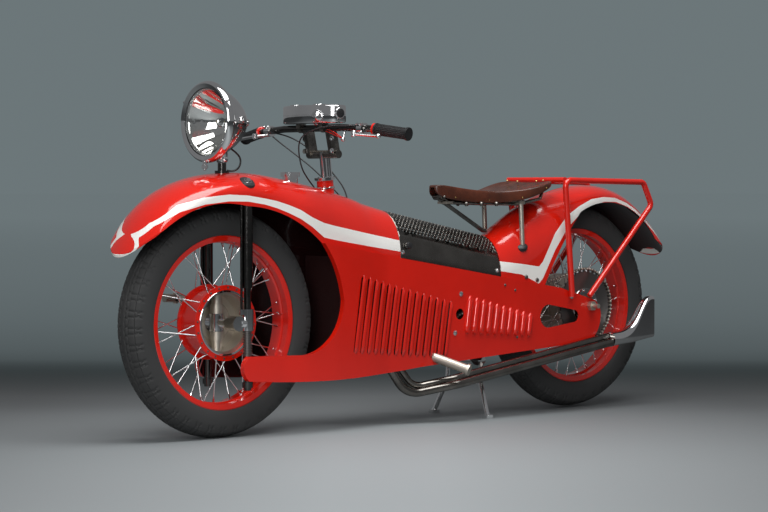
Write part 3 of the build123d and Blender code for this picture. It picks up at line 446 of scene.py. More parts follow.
def along_table(tree, source, rows, column=1, handle="AUTO"):
    """Value from a table by its first column, through a float curve."""
    low, high = rows[0][0], rows[-1][0]
    node = add_node(tree, "ShaderNodeFloatCurve")
    points = node.mapping.curves[0].points
    points[0].location = (0, rows[0][column])
    points[1].location = (1, rows[-1][column])
    for row in rows[1:-1]:
        points.new((row[0] - low) / (high - low), row[column])
    for point in points:
        point.handle_type = handle
    node.mapping.update()
    tree.links.new(map_range(tree, source, low, high, 0.0, 1.0), node.inputs["Value"])
    return node.outputs["Value"]


def scaled(color, factor):
    return tuple(min(1.0, c * factor) for c in color)


# Materials

def stripe_mask(tree, rows):
    """One between the stripe's two edges, by X and Z."""
    coords = add_node(tree, "ShaderNodeTexCoord")
    x, _, z = split_vector(tree, coords.outputs["Object"])
    above = math_node(tree, "GREATER_THAN", z, along_table(tree, x, rows, 1, "VECTOR"))
    below = math_node(tree, "LESS_THAN", z, along_table(tree, x, rows, 2, "VECTOR"))
    return math_node(tree, "MULTIPLY", above, below)


# Painted shade: marks the inner faces that take the dark inside colour
def inside_shade_mask(tree, middle_z):
    """One where a wall faces the machine's middle line: beside it, and above middle_z if that isn't zero."""
    coords = add_node(tree, "ShaderNodeTexCoord")
    place = split_vector(tree, coords.outputs["Object"])
    geometry = add_node(tree, "ShaderNodeNewGeometry")
    normal = split_vector(tree, geometry.outputs["True Normal"])
    if not middle_z:
        side = math_node(tree, "MULTIPLY", normal[1], math_node(tree, "SIGN", place[1]))
        return math_node(tree, "LESS_THAN", side, -0.5)
    height = math_node(tree, "SUBTRACT", place[2], middle_z)
    outward = math_node(tree, "ADD", math_node(tree, "MULTIPLY", normal[1], place[1]),
                        math_node(tree, "MULTIPLY", normal[2], height))
    return math_node(tree, "LESS_THAN", outward, -0.02)


def enamel(name, color, roughness=0.13, stripe=None, inside=None):
    """Glossy stove enamel with faint waviness, dust in the gloss and slightly uneven depth of colour."""
    paint = bpy.context.scene.bike_paint
    mat, tree, shader = new_material(name)
    shader.inputs["Coat Weight"].default_value = 0.6
    shader.inputs["Coat Roughness"].default_value = 0.05
    shade = ramp_between(tree, noise_at(tree, 6.0, 3.0), 0.3, 0.7, scaled(color, 0.92), scaled(color, 1.04))
    if stripe:
        shade = mixed(tree, stripe_mask(tree, stripe), shade, tuple(paint.white))
    # Painted shade: faces turned towards the machine's middle take the dark inside colour
    if inside is not None:
        shade = mixed(tree, inside_shade_mask(tree, inside), shade, tuple(paint.inside))
    tree.links.new(shade, shader.inputs["Base Color"])
    rough = map_range(tree, noise_at(tree, 55.0, 6.0, 0.7), 0.3, 0.8, roughness * 0.8, roughness * 1.6)
    tree.links.new(rough, shader.inputs["Roughness"])
    bump_from(tree, noise_at(tree, 260.0, 2.0), paint.orange_peel, 0.0005, shader)
    return mat


def plated(name, color, roughness, stain=0.2, scale=9.0):
    """Plated metal with cloudy tarnish and fine rub marks."""
    mat, tree, shader = new_material(name)
    shader.inputs["Metallic"].default_value = 1.0
    cloud = noise_at(tree, scale, 6.0, 0.6)
    tint = ramp_between(tree, cloud, 0.35, 0.7, scaled(color, 1.0 - stain), scaled(color, 1.05))
    tree.links.new(tint, shader.inputs["Base Color"])
    rub = noise_at(tree, scale * 14.0, 5.0, 0.65)
    rough = map_range(tree, rub, 0.3, 0.75, roughness * 0.7, roughness * 1.7)
    tree.links.new(rough, shader.inputs["Roughness"])
    bump_from(tree, rub, 0.04, 0.0004, shader)
    return mat


def rubber(name, color, roughness):
    """Dull rubber with a fine grain."""
    mat, tree, shader = new_material(name)
    cloud = noise_at(tree, 18.0, 5.0, 0.6)
    tint = ramp_between(tree, cloud, 0.35, 0.75, scaled(color, 0.75), scaled(color, 1.5))
    tree.links.new(tint, shader.inputs["Base Color"])
    grain = noise_at(tree, 420.0, 3.0)
    rough = map_range(tree, grain, 0.3, 0.7, roughness * 0.85, roughness * 1.15)
    tree.links.new(rough, shader.inputs["Roughness"])
    bump_from(tree, grain, 0.15, 0.0004, shader)
    return mat


def leather(name, color):
    """Polished old leather: fine grain, creases, lighter rubbed places and dark pores."""
    mat, tree, shader = new_material(name)
    cloud = noise_at(tree, 11.0, 6.0, 0.65)
    tint = ramp_between(tree, cloud, 0.3, 0.72, scaled(color, 0.45), scaled(color, 1.55))
    tree.links.new(tint, shader.inputs["Base Color"])
    tree.links.new(map_range(tree, cloud, 0.3, 0.7, 0.34, 0.15), shader.inputs["Roughness"])
    coords = add_node(tree, "ShaderNodeTexCoord")
    pores = add_node(tree, "ShaderNodeTexVoronoi", Scale=340.0)
    tree.links.new(coords.outputs["Object"], pores.inputs["Vector"])
    height = math_node(tree, "ADD", pores.outputs["Distance"], noise_at(tree, 60.0, 8.0, 0.75))
    bump_from(tree, height, 0.22, 0.0006, shader)
    return mat


def cast_metal(name, color):
    """Rough cast alloy."""
    mat, tree, shader = new_material(name)
    shader.inputs["Metallic"].default_value = 1.0
    cloud = noise_at(tree, 30.0, 6.0, 0.7)
    tint = ramp_between(tree, cloud, 0.3, 0.7, scaled(color, 0.7), color)
    tree.links.new(tint, shader.inputs["Base Color"])
    shader.inputs["Roughness"].default_value = 0.55
    bump_from(tree, cloud, 0.3, 0.001, shader)
    return mat


def clear_glass(name):
    """Glass with a faint smear."""
    mat, tree, shader = new_material(name)
    shader.inputs["Transmission Weight"].default_value = 1.0
    shader.inputs["Base Color"].default_value = (0.97, 0.98, 0.98, 1)
    shader.inputs["IOR"].default_value = 1.45
    rough = map_range(tree, noise_at(tree, 40.0, 3.0), 0.4, 0.8, 0.0, 0.05)
    tree.links.new(rough, shader.inputs["Roughness"])
    return mat


def finish(name):
    """The shared material of that name, made from the settings unless one is there already.

    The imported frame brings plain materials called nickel, dark_steel and tyre_rubber, and for
    those three names the frame's own is what comes back, not the recipe below.
    """
    if name in bpy.data.materials:
        return bpy.data.materials[name]
    scene = bpy.context.scene
    paint, inside = tuple(scene.bike_paint.red), tuple(scene.bike_paint.inside)
    nickel, chrome = tuple(scene.bike_metal.nickel), tuple(scene.bike_metal.chrome)
    recipes = {
        "red": (enamel, paint),
        # Painted shade: the dark inside colour as a material of its own
        "inner_black": (enamel, inside, 0.4),
        "nickel": (plated, nickel, 0.2),
        "patina": (plated, scaled(nickel, 0.62), 0.26, 0.6, 30.0),
        "dark_tube": (plated, (0.12, 0.115, 0.11), 0.12, 0.3),
        "worn_exhaust": (plated, scaled(nickel, 0.55), 0.17, 0.45, 14.0),
        "cover_nickel": (plated, scaled(nickel, 0.42), 0.2, 0.3, 16.0),
        "chrome": (plated, chrome, 0.05, 0.08),
        "mirror": (plated, (0.9, 0.89, 0.86), 0.03, 0.05),
        "dark_steel": (plated, tuple(scene.bike_metal.dark_steel), 0.38, 0.4),
        "brass": (plated, (0.62, 0.42, 0.16), 0.25, 0.2),
        "grip_rubber": (rubber, (0.013, 0.013, 0.014), 0.42),
        "tyre_rubber": (rubber, (0.006, 0.007, 0.0075), 0.5),
        "leather": (leather, tuple(scene.bike_fittings.leather)),
        "bulb_glass": (clear_glass,),
        "dial_glass": (clear_glass,),
    }
    make, *values = recipes[name]
    return make(name, *values)


def give(mat, *names):
    """Puts a material on CAD nodes."""
    for name in names:
        mesh = nodes[name].data
        mesh.materials.clear()
        mesh.materials.append(mat)


NODE_FINISHES = {
    "red": ("front_rim", "rear_rim", "front_hub", "rear_rack", "column_collar"),
    # Painted shade: the cross members inside the body take the dark inside colour
    "inner_black": ("cross_members",),
    "worn_exhaust": ("exhaust_pipes",),
    "dark_tube": ("fork_columns", "headlamp_stem", "handlebar"),
    "nickel": ("footrests", "saddle_frame", "drag_link", "steering_arm", "rear_axle", "hub_carrier",
               "rear_hub", "instrument_housing"),
    "patina": ("handlebar_yoke",),
    "chrome": ("headlamp_rim", "headlamp_bowl", "exhaust_fishtail", "filler_cap", "centre_stand",
               "front_spokes", "rear_spokes", "front_axle", "fork_sliders", "control_levers",
               "steering_column"),
    "dark_steel": ("rear_sprocket", "rebound_springs", "drive_chain"),
    "grip_rubber": ("grips",),
}


class BIKE_OT_finishes(bpy.types.Operator):
    """Gives every carried-over CAD node its paint, plating or rubber"""
    bl_idname = "bike.finishes"
    bl_label = "Paint and plate the CAD nodes"

    def execute(self, context):
        paint = tuple(context.scene.bike_paint.red)
        shell_middle = 0.5
        # Painted shade on the inner faces of the shells, and on the faces of the plates that are turned
        # towards the middle line
        give(enamel("front_shell_enamel", paint, stripe=FRONT_STRIPE, inside=shell_middle), "front_shell")
        give(enamel("rear_shell_enamel", paint, stripe=REAR_STRIPE, inside=shell_middle), "rear_shell")
        give(enamel("plate_enamel", paint, inside=0), "side_frame_left", "side_frame_right")
        give(cast_metal("engine_alloy", (0.35, 0.35, 0.34)), "engine_block")
        give(clear_glass("lamp_glass"), "headlamp_glass")
        for mat, names in NODE_FINISHES.items():
            give(finish(mat), *names)
        for obj in nodes.values():
            obj.data.shade_smooth()
            obj.data.set_sharp_from_angle(angle=math.radians(32))
        return {"FINISHED"}


# Louvres

def plate_face(x):
    """Y of the side plates' outer face at x."""
    for (front, front_y), (back, back_y) in zip(PLATE_FACE, PLATE_FACE[1:]):
        if x >= back:
            break
    return back_y + (front_y - back_y) * min(1.0, (x - back) / (front - back))


def louvre_places(row):
    """Middle and height of each louvre in a row."""
    x, z, count, pitch, first, last = row
    for index in range(count):
        yield Vector((x, 0, z)) + LOUVRE_BACK * (index * pitch), first + (last - first) * index / (count - 1)


def add_pressing(bm, middle, height, side, half_width, rise, sweep, wall):
    """Pressing on a plate with pointed ends: a hood open forward when the sweep is under a half turn."""
    stations, arc, taper, sunk, tip = 18, 8, 0.020, 0.0008, 0.02
    rows = []
    for step in range(stations + 1):
        share = step / stations
        edge = min(share, 1 - share) * height
        size = math.sin(min(1.0, edge / taper) * math.pi / 2) ** 0.8 if edge > 0 else tip
        centre = Vector((middle.x, side * (plate_face(middle.x) - sunk), middle.z))
        centre += LOUVRE_UP * ((share - 0.5) * height)
        angles = [sweep * index / arc for index in range(arc + 1)]
        ring = [(turn, 0.0) for turn in angles]
        if wall:
            ring += [(turn, wall) for turn in reversed(angles)]
        rows.append([centre + LOUVRE_BACK * (math.cos(turn) * max(half_width * size - layer, 0.0002)) +
                     Vector((0, side * math.sin(turn) * max(rise * size - layer, 0.0001), 0))
                     for turn, layer in ring])
    skin_rows(bm, rows, closed=True, caps=True)


class BIKE_OT_louvres(bpy.types.Operator):
    """Presses the hoods over the open louvres and rounds the closed ribs"""
    bl_idname = "bike.louvres"
    bl_label = "Louvre hoods and ribs"

    def execute(self, context):
        rise = context.scene.bike_fittings.hood_rise
        hood_extra, rib_extra = 0.012, 0.010
        # half width, rise, sweep and wall of each pressing
        hood = (0.0100, rise, math.radians(132), 0.0014)
        rib = (0.0112, rise + 0.0035, math.pi, 0)
        for side, word in ((1, "left"), (-1, "right")):
            bm = bmesh.new()
            for middle, height in louvre_places(OPEN_LOUVRES):
                if side > 0 or not LINK_OPENING[0] < middle.x < LINK_OPENING[1]:
                    add_pressing(bm, middle, height + hood_extra, side, *hood)
            add_piece("louvre_hoods_" + word, bm, "frame", "red")
            bm = bmesh.new()
            for middle, height in louvre_places(CLOSED_LOUVRES):
                add_pressing(bm, middle, height + rib_extra, side, *rib)
            add_piece("louvre_ribs_" + word, bm, "frame", "red", 80)
        return {"FINISHED"}


class BIKE_OT_fastenings(bpy.types.Operator):
    """Fits the bolts, studs, knobs and grommets on the body"""
    bl_idname = "bike.fastenings"
    bl_label = "Fastenings"

    def execute(self, context):
        bright, dull, black = bmesh.new(), bmesh.new(), bmesh.new()
        for name, x, z, kind, radius in SIDE_FITTINGS:
            for side in (1, -1):
                node = name if side > 0 else name.replace("_left", "_right")
                spot, normal = touch(node, (x, side * 0.39, z), (0, -side, 0))
                if kind == "bolt":
                    add_bolt(bright, spot, normal, radius)
                elif kind == "stud":
                    add_stud(dull, spot, normal, radius)
                else:
                    neck = radius * 0.7
                    add_turned(bright, spot, normal,
                               ((neck, 0), (neck, 0.003), (radius, 0.004), (radius, 0.006)))
                    add_turned(black, spot + normal * 0.006, normal,
                               ((radius, 0), (radius, 0.005), (radius * 0.8, 0.009), (radius * 0.3, 0.010)))
        for side in (1, -1):
            fork_top, fork_way = Vector((0.7475, side * 0.098, 0.764)), Vector((0, side * 0.588, 0.809))
            add_turned(black, fork_top - fork_way * 0.003, fork_way,
                       ((0.025, 0), (0.025, 0.004), (0.022, 0.007), (0.012, 0.008)), 28)
            add_bolt(bright, fork_top + fork_way * 0.005, fork_way, 0.0085)
            # the shell has a hole where the seat rod enters, so its surface is found just ahead
            spot, normal = touch("rear_shell", (-0.385, side * 0.088, 0.70), (0, 0, -1))
            spot.x = -0.4095
            add_turned(black, spot - normal * 0.004, (0.3, side * 0.5, 1),
                       ((0.021, -0.004), (0.021, 0.006), (0.017, 0.010), (0.009, 0.012)), 24)
        lean = Vector((math.sin(COLUMN_LEAN), 0, math.cos(COLUMN_LEAN)))
        add_band(bright, COLUMN_TOP, lean, 0.0165, 0.0295, -0.003, 0.005)
        bolt_circle = 0.0225
        for turn in turns(4, math.radians(45)):
            spot = COLUMN_TOP + Vector((bolt_circle * math.cos(turn), bolt_circle * math.sin(turn), 0))
            add_bolt(bright, spot + lean * 0.004, lean, 0.0035)
        add_piece("bright_fastenings", bright, "frame", "chrome")
        add_piece("dark_studs", dull, "frame", "dark_steel")
        add_piece("rubber_grommets", black, "frame", "grip_rubber")
        return {"FINISHED"}


# Perforated cover

def cover_point(along, around):
    """Point on the cover: along runs 0 to 1 backwards, around 0 to 1 from the left seam to the right."""
    front, rear = COVER_ENDS
    x, half, shoulder, crest = [a + (b - a) * along for a, b in zip(front, rear)]
    seam = 0.5055 + 0.1585 * x
    strip = 0.14
    if around < strip:
        return Vector((x, half, seam + (shoulder - seam) * around / strip))
    if around > 1 - strip:
        return Vector((x, -half, seam + (shoulder - seam) * (1 - around) / strip))
    turn = math.pi * (around - strip) / (1 - 2 * strip)
    return Vector((x, half * math.cos(turn), shoulder + (crest - shoulder) * math.sin(turn)))


class BIKE_OT_cover(bpy.types.Operator):
    """Builds the sheet cover with a staggered field of real holes over its top"""
    bl_idname = "bike.cover"
    bl_label = "Perforated cover"

    def execute(self, context):
        step = context.scene.bike_fittings.hole_pitch
        low_edge, high_edge = 0.27, 0.73
        field_length, field_width, border, hole = 0.424, 0.215, 0.022, 0.50
        columns = 2 * round(field_length / step / 2)
        rows = 2 * round(field_width / step / 2)

        def lattice(i, j):
            along = border + (1 - 2 * border) * i / columns
            return cover_point(along, low_edge + (high_edge - low_edge) * j / rows)

        bm = bmesh.new()
        diamond = ((1, 0), (0.5, 0.5), (0, 1), (-0.5, 0.5), (-1, 0), (-0.5, -0.5), (0, -1), (0.5, -0.5))
        for i in range(columns + 1):
            for j in range(rows + 1):
                if (i + j) % 2 == 0:
                    continue
                if 0 < i < columns and 0 < j < rows:
                    edge = [bm.verts.new(lattice(i + dx, j + dy)) for dx, dy in diamond]
                    rim = [bm.verts.new(lattice(i + hole * math.cos(turn), j + hole * math.sin(turn)))
                           for turn in turns(8)]
                    for k in range(8):
                        after = (k + 1) % 8
                        bm.faces.new((edge[k], edge[after], rim[after], rim[k]))
                    continue
                ring = [(i + dx, j + dy) for dx, dy in diamond[::2]]
                ring = [(a, b) for a, b in ring if 0 <= a <= columns and 0 <= b <= rows]
                if len(ring) == 3:
                    bm.faces.new([bm.verts.new(lattice(a, b)) for a, b in ring])
        strip_rows = 7
        for low, high in ((0.0, low_edge), (high_edge, 1.0)):
            skin_rows(bm, [[cover_point(i / columns, low + (high - low) * k / strip_rows)
                            for i in range(columns + 1)] for k in range(strip_rows + 1)])
        for low, high in ((0.0, border), (1 - border, 1.0)):
            skin_rows(bm, [[cover_point(along, low_edge + (high_edge - low_edge) * k / rows)
                            for along in (low, high)] for k in range(rows + 1)])
        bmesh.ops.remove_doubles(bm, verts=bm.verts, dist=0.0001)
        cover = add_piece("perforated_sheet", bm, "frame", "cover_nickel", 50)
        add_wall(cover, 0.0012)
        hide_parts("perforated_cover")
        return {"FINISHED"}


# Tyres

TREAD_EDGE = 0.3305
SHOULDER_FROM = 0.3060


def tread_groove(turn, y, blocks):
    """Share of the groove depth at an angle and a place across the tread."""
    phase = turn * blocks / (2 * math.pi)
    saw = abs((phase % 1.0) - 0.5) * 2
    edge = abs(y)
    if abs(edge - 0.0085 - 0.0030 * saw) < 0.0016 or abs(edge - 0.0235 + 0.0030 * saw) < 0.0017:
        return 1.0
    if 0.0110 < edge < 0.0220 and abs((phase + 0.5) % 1.0 - 0.5) < 0.10:
        return 0.8
    if 0.0245 < edge < 0.0405:
        middle = abs((phase * 0.5 + (0.25 if y > 0 else 0.0)) % 1.0 - 0.5)
        narrow = abs(edge - 0.0325) / 0.008
        if abs(middle - 0.36 + 0.10 * max(0.0, narrow - 0.4)) < 0.045:
            return 0.9
    return 0.5 if 0.0395 < edge < 0.0415 else 0.0


def shoulder_groove(turn, radius, y, blocks):
    """Share of the groove depth where the tread's six-sided blocks run down onto the side wall."""
    if radius < 0.3085:
        return 1.0
    phase = (turn * blocks / (2 * math.pi) * 0.5 + (0.25 if y > 0 else 0.0)) % 1.0
    edge = 0.40 - 0.08 * abs(radius - 0.3200) / 0.0110
    return 1.0 if abs(abs(phase - 0.5) - edge) < 0.055 else 0.0


def tyre_section():
    """Profile points (radius, y) of the tyre from bead to bead, finer over the tread."""
    bead_r, bead_y, waist_r, shoulder_r, shoulder_y, crown = 0.260, 0.035, 0.296, 0.331, 0.040, 0.345
    wall_steps, tread_steps = 24, 52
    wall = []
    for step in range(wall_steps + 1):
        turn = math.radians(-62 + 122 * step / wall_steps)
        wall.append((waist_r + 0.0405 * math.sin(turn), bead_y - 0.002 + 0.0185 * math.cos(turn)))
    wall[0] = (bead_r, bead_y)
    wall[-1] = (shoulder_r, shoulder_y)
    sag = crown - shoulder_r
    big = (shoulder_y ** 2 + sag ** 2) / (2 * sag)
    widths = [-shoulder_y + 2 * shoulder_y * step / tread_steps for step in range(1, tread_steps)]
    return ([(r, -y) for r, y in wall] + [(crown - big + math.sqrt(big ** 2 - y ** 2), y) for y in widths] +
            list(reversed(wall)))


class BIKE_OT_tyres(bpy.types.Operator):
    """Builds both tyres with their block tread and grooved shoulders"""
    bl_idname = "bike.tyres"
    bl_label = "Tyres"

    def execute(self, context):
        depth, blocks = context.scene.bike_fittings.tread_depth, context.scene.bike_fittings.tread_blocks
        section = tyre_section()
        bed_radius, bed_y = 0.2475, 0.034
        for axle, word in ((AXLE_FRONT, "front"), (AXLE_REAR, "rear")):
            rows = []
            for turn in turns(blocks * 6):
                row = []
                for radius, y in section:
                    if radius > TREAD_EDGE:
                        radius -= depth * tread_groove(turn, y, blocks)
                    elif SHOULDER_FROM < radius < TREAD_EDGE:
                        y -= math.copysign(depth * 0.7 * shoulder_groove(turn, radius, y, blocks), y)
                    row.append((axle.x + radius * math.cos(turn), y, axle.z + radius * math.sin(turn)))
                row += [(axle.x + bed_radius * math.cos(turn), y, axle.z + bed_radius * math.sin(turn))
                        for y in (bed_y, -bed_y)]
                rows.append(row)
            rows.append(rows[0])
            bm = bmesh.new()
            skin_rows(bm, rows, closed=True)
            bmesh.ops.remove_doubles(bm, verts=bm.verts, dist=0.00001)
            tyre = add_piece(word + "_tread", bm, word + "_wheel", "tyre_rubber", 42)
            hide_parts(word + "_tyre")
        return {"FINISHED"}


# Saddle

def saddle_row(x, half, middle, lift, low):
    """Points across the leather: dished in the middle, rolled over at the sides."""
    steps, roll_from = 14, 0.70
    row = []
    for step in range(-steps, steps + 1):
        share = step / steps
        size = abs(share)
        top = middle + lift * size ** 2
        fall = max(0.0, (size - roll_from) / (1 - roll_from))
        z = top - (top - low) * (1 - math.sqrt(max(0.0, 1 - fall ** 2)))
        row.append((x, half * math.sin(share * math.pi / 2), z))
    return row


class BIKE_OT_saddle(bpy.types.Operator):
    """Builds the leather seat, its rivets, nose clamp, strut and under-frame"""
    bl_idname = "bike.saddle"
    bl_label = "Saddle"

    def execute(self, context):
        bm = bmesh.new()
        skin_rows(bm, [saddle_row(*row) for row in SADDLE_ROWS])
        seat = add_piece("saddle_hide", bm, "frame", "leather", 60)
        add_wall(seat, 0.005, "hide")
        smooth = seat.modifiers.new("smooth", "SUBSURF")
        smooth.levels = smooth.render_levels = 2
        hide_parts("saddle_leather")

        bm = bmesh.new()
        for side in (1, -1):
            for x, half, _, _, low in SADDLE_ROWS[3:10:2]:
                add_stud(bm, (x, side * half * 0.99, low + 0.010), (0, side, 0.1), 0.0032)
            for x, y, z in ((-0.512, 0.085, 0.772), (-0.520, 0.045, 0.770)):
                add_stud(bm, (x, side * y, z), (-0.2, 0, 1), 0.0045)
        add_piece("saddle_rivets", bm, "frame", "brass")

        bm = bmesh.new()
        clamp = Vector((-0.118, -0.022, 0.719))
        add_turned(bm, clamp, (0, 1, 0), ((0.009, 0), (0.011, 0.003), (0.011, 0.041), (0.009, 0.044)))
        add_bar(bm, (clamp.x, -0.030, clamp.z), (clamp.x, 0.030, clamp.z), 0.005)
        for side in (1, -1):
            rail = [Vector((x, side * y, z)) for x, y, z in ((-0.150, 0.012, 0.700), (-0.400, 0.075, 0.694),
                                                             (-0.470, 0.112, 0.712), (-0.515, 0.085, 0.752))]
            add_bar(bm, rail[0], (clamp.x, side * 0.012, 0.722), 0.006)
            for start, end in zip(rail, rail[1:]):
                add_bar(bm, start, end, 0.0055)
            add_bolt(bm, (-0.407, side * 0.088, 0.706), (0, 0, 1), 0.008)
            for x in (-0.200, -0.255, -0.310):
                add_turned(bm, (x, side * (0.03 + (-0.15 - x) * 0.25), 0.702), (0, 0, -1),
                           ((0.006, 0), (0.008, 0.004), (0.006, 0.010), (0.004, 0.014)), 10)
        add_piece("saddle_rails", bm, "frame", "patina")

        bm = bmesh.new()
        start, end = Vector((-0.118, 0, 0.712)), Vector((-0.322, 0, 0.603))
        way = (end - start).normalized()
        up = way.cross(Vector((0, 1, 0))).normalized()
        half_width, half_wall = 0.0105, 0.003
        corners = [Vector((0, half_width * a, 0)) + up * (half_wall * b)
                   for a, b in ((1, 1), (1, -1), (-1, -1), (-1, 1))]
        skin_rows(bm, [[place + corner for corner in corners] for place in (start, end)],
                  closed=True, caps=True)
        add_bolt(bm, end + up * -0.004, -up, 0.006)
        add_bolt(bm, start + way * 0.02, (0, 1, 0), 0.006)
        add_piece("saddle_strut", bm, "frame", "patina")
        return {"FINISHED"}


# Headlamp

class BIKE_OT_lamp(bpy.types.Operator):
    """Fits the headlamp's reflector, bulb, retaining screws, bracket and wire"""
    bl_idname = "bike.lamp"
    bl_label = "Headlamp fittings"

    def execute(self, context):
        bm = bmesh.new()
        mouth, throat, steps = 0.100, 0.008, 16
        radii = [mouth - (mouth - throat) * step / steps for step in range(steps + 1)]
        add_turned(bm, LAMP, (-1, 0, 0), [(r, 0.002 + 0.100 * (1 - (r / mouth) ** 2)) for r in radii], 64)
        ends = [face for face in bm.faces if len(face.verts) > 8]
        bmesh.ops.delete(bm, geom=ends, context="FACES_ONLY")
        mirror = add_piece("lamp_reflector", bm, "frame", "mirror", 80)
        add_wall(mirror, 0.0008)

        bm = bmesh.new()
        add_turned(bm, LAMP + Vector((-0.095, 0, 0)), (1, 0, 0),
                   ((0.009, 0), (0.009, 0.014), (0.011, 0.016), (0.011, 0.020), (0.0085, 0.021)))
        add_piece("lamp_bulb_cap", bm, "frame", "brass")
        bm = bmesh.new()
        add_turned(bm, LAMP + Vector((-0.074, 0, 0)), (1, 0, 0),
                   ((0.007, 0), (0.011, 0.006), (0.0145, 0.014), (0.0145, 0.020), (0.011, 0.028),
                    (0.005, 0.032), (0, 0.033)), 24)
        add_piece("lamp_bulb", bm, "frame", "bulb_glass", 80)

        bm = bmesh.new()
        rim = 0.121
        for turn in turns(3, math.radians(30)):
            out = Vector((0, math.cos(turn), math.sin(turn)))
            add_turned(bm, LAMP + out * rim, out, ((0.0045, -0.004), (0.0045, 0.003), (0.003, 0.0045),
                                                   (0, 0.005)), 12)
        bracket = LAMP + Vector((-0.060, 0, -0.088))
        for side in (1, -1):
            add_bolt(bm, bracket + Vector((0, side * 0.014, -0.022)), (0, side, 0), 0.008)
        add_turned(bm, bracket, (0, 0, -1), ((0.017, 0), (0.017, 0.016), (0.014, 0.020), (0.014, 0.034)), 24)
        add_turned(bm, LAMP + Vector((0.004, 0, -0.126)), (0, 0, -1),
                   ((0.007, -0.010), (0.007, 0.002), (0.010, 0.003), (0.010, 0.012), (0.005, 0.013),
                    (0.005, 0.018), (0, 0.019)), 14)
        add_turned(bm, LAMP + Vector((-0.1495, 0, 0)), (-1, 0, 0),
                   ((0.013, 0), (0.012, 0.006), (0.006, 0.008), (0.006, 0.011)))
        add_piece("lamp_fastenings", bm, "frame", "chrome")
        link_piece("lamp_wire", curve_mesh("lamp_wire", LAMP_WIRE, 0.0028), "frame", "grip_rubber",
                   60)
        return {"FINISHED"}


# Chain, hubs and kingpin

def chain_places(pitch):
    """Middles of the chain's pins round both sprockets, in side view."""
    big, big_radius = Vector((AXLE_REAR.x, AXLE_REAR.z)), 0.1252
    small, small_radius = Vector((-0.150, 0.300)), 0.042
    gap = small - big
    lean = math.atan2(gap.y, gap.x)
    spread = math.acos((big_radius - small_radius) / gap.length)
    steps = 60
    corners = []
    for centre, radius, first, last in ((big, big_radius, lean + spread, lean + 2 * math.pi - spread),
                                        (small, small_radius, lean - spread, lean + spread)):
        for step in range(steps + 1):
            turn = first + (last - first) * step / steps
            corners.append(centre + Vector((math.cos(turn), math.sin(turn))) * radius)
    corners.append(corners[0])
    left = 0.0
    for start, end in zip(corners, corners[1:]):
        length = (end - start).length
        while left < length:
            yield start.lerp(end, left / length)
            left += pitch
        left -= length


def add_nipples(bm, axle, hub_radius, hub_y, lean):
    """Nipples at the rim's end of each spoke, pointing along it."""
    rim_y, stagger = 0.006, 0.0022
    for side in (1, -1):
        for index in range(SPOKES_A_SIDE):
            leaning = 1 if index % 2 else -1
            turn = math.radians(index * SPOKE_STEP + (0 if side > 0 else SPOKE_STEP / 2))
            start = axle + round_side(turn, hub_radius, side * hub_y)
            end = axle + round_side(turn + math.radians(leaning * lean), RIM_BED,
                                    side * (rim_y + leaning * stagger))
            way = (start - end).normalized()
            add_turned(bm, end, way, ((0.0040, 0), (0.0036, 0.004), (0.0030, 0.016), (0.0020, 0.017)), 8)


class BIKE_OT_running_gear(bpy.types.Operator):
    """Fits the chain's pins, the spokes' nipples, the hubs' rivets and rings and the kingpin's caps"""
    bl_idname = "bike.running_gear"
    bl_label = "Running gear"

    def execute(self, context):
        bm = bmesh.new()
        pin_half = 0.0085
        for place in chain_places(CHAIN_PITCH):
            add_turned(bm, (place.x, CHAIN_Y - pin_half, place.y), (0, 1, 0),
                       ((0.003, 0), (0.0038, 0.001), (0.0038, 0.016), (0.003, 0.017)), 8)
        add_piece("chain_pins", bm, "frame", "nickel")

        rivets, rings = bmesh.new(), bmesh.new()
        for side in (1, -1):
            for turn in turns(SPOKES_A_SIDE, math.radians(4)):
                add_stud(rivets, AXLE_FRONT + round_side(turn, 0.1060, side * 0.0462), (0, side, 0), 0.0034)
            add_band(rings, AXLE_FRONT + Vector((0, side * 0.0455, 0)), (0, side, 0), 0.0925, 0.0985,
                     0, 0.0030, 64)
        add_piece("hub_rivets", rivets, "front_wheel", "dark_steel")
        add_piece("hub_rings", rings, "front_wheel", "chrome")

        # Columns: axle, body, spoke circle at the hub, its Y, lean of the spokes in degrees
        for axle, body, hub_radius, hub_y, lean in ((AXLE_FRONT, "front_wheel", 0.1075, 0.0435, 14),
                                                    (AXLE_REAR, "rear_wheel", 0.060, 0.040, 40)):
            bm = bmesh.new()
            add_nipples(bm, axle, hub_radius, hub_y, lean)
            add_piece(body + "_nipples", bm, body, "chrome")

        bm = bmesh.new()
        for height in (0.2915, 0.3985):
            add_ball(bm, (AXLE_FRONT.x, 0, height), 0.0120, 20)
        add_piece("kingpin_caps", bm, "frame", "chrome", 80)

        bm = bmesh.new()
        for side in (1, -1):
            for turn in turns(9):
                add_stud(bm, AXLE_REAR + round_side(turn, 0.050, side * 0.0855), (0, side, 0), 0.0040)
        add_band(bm, AXLE_REAR + Vector((0, 0.0835, 0)), (0, 1, 0), 0.040, 0.060, -0.001, 0.0022, 48)
        add_piece("sprocket_ring", bm, "rear_wheel", "chrome")
        return {"FINISHED"}


# Handlebar and cables

def case_ring(height, inset):
    """Plan outline of the instrument case, pulled in by inset."""
    half_length, half_depth, middle_x, bow = 0.130, 0.029, 0.404, 0.040
    row = []
    for turn in turns(72):
        wide, deep = math.cos(turn), math.sin(turn)
        y = (half_length - inset) * math.copysign(abs(wide) ** 0.28, wide)
        x = middle_x + bow * (1 - (y / half_length) ** 2)
        x += (half_depth - inset) * math.copysign(abs(deep) ** 0.45, deep)
        row.append((x, y, height))
    return row


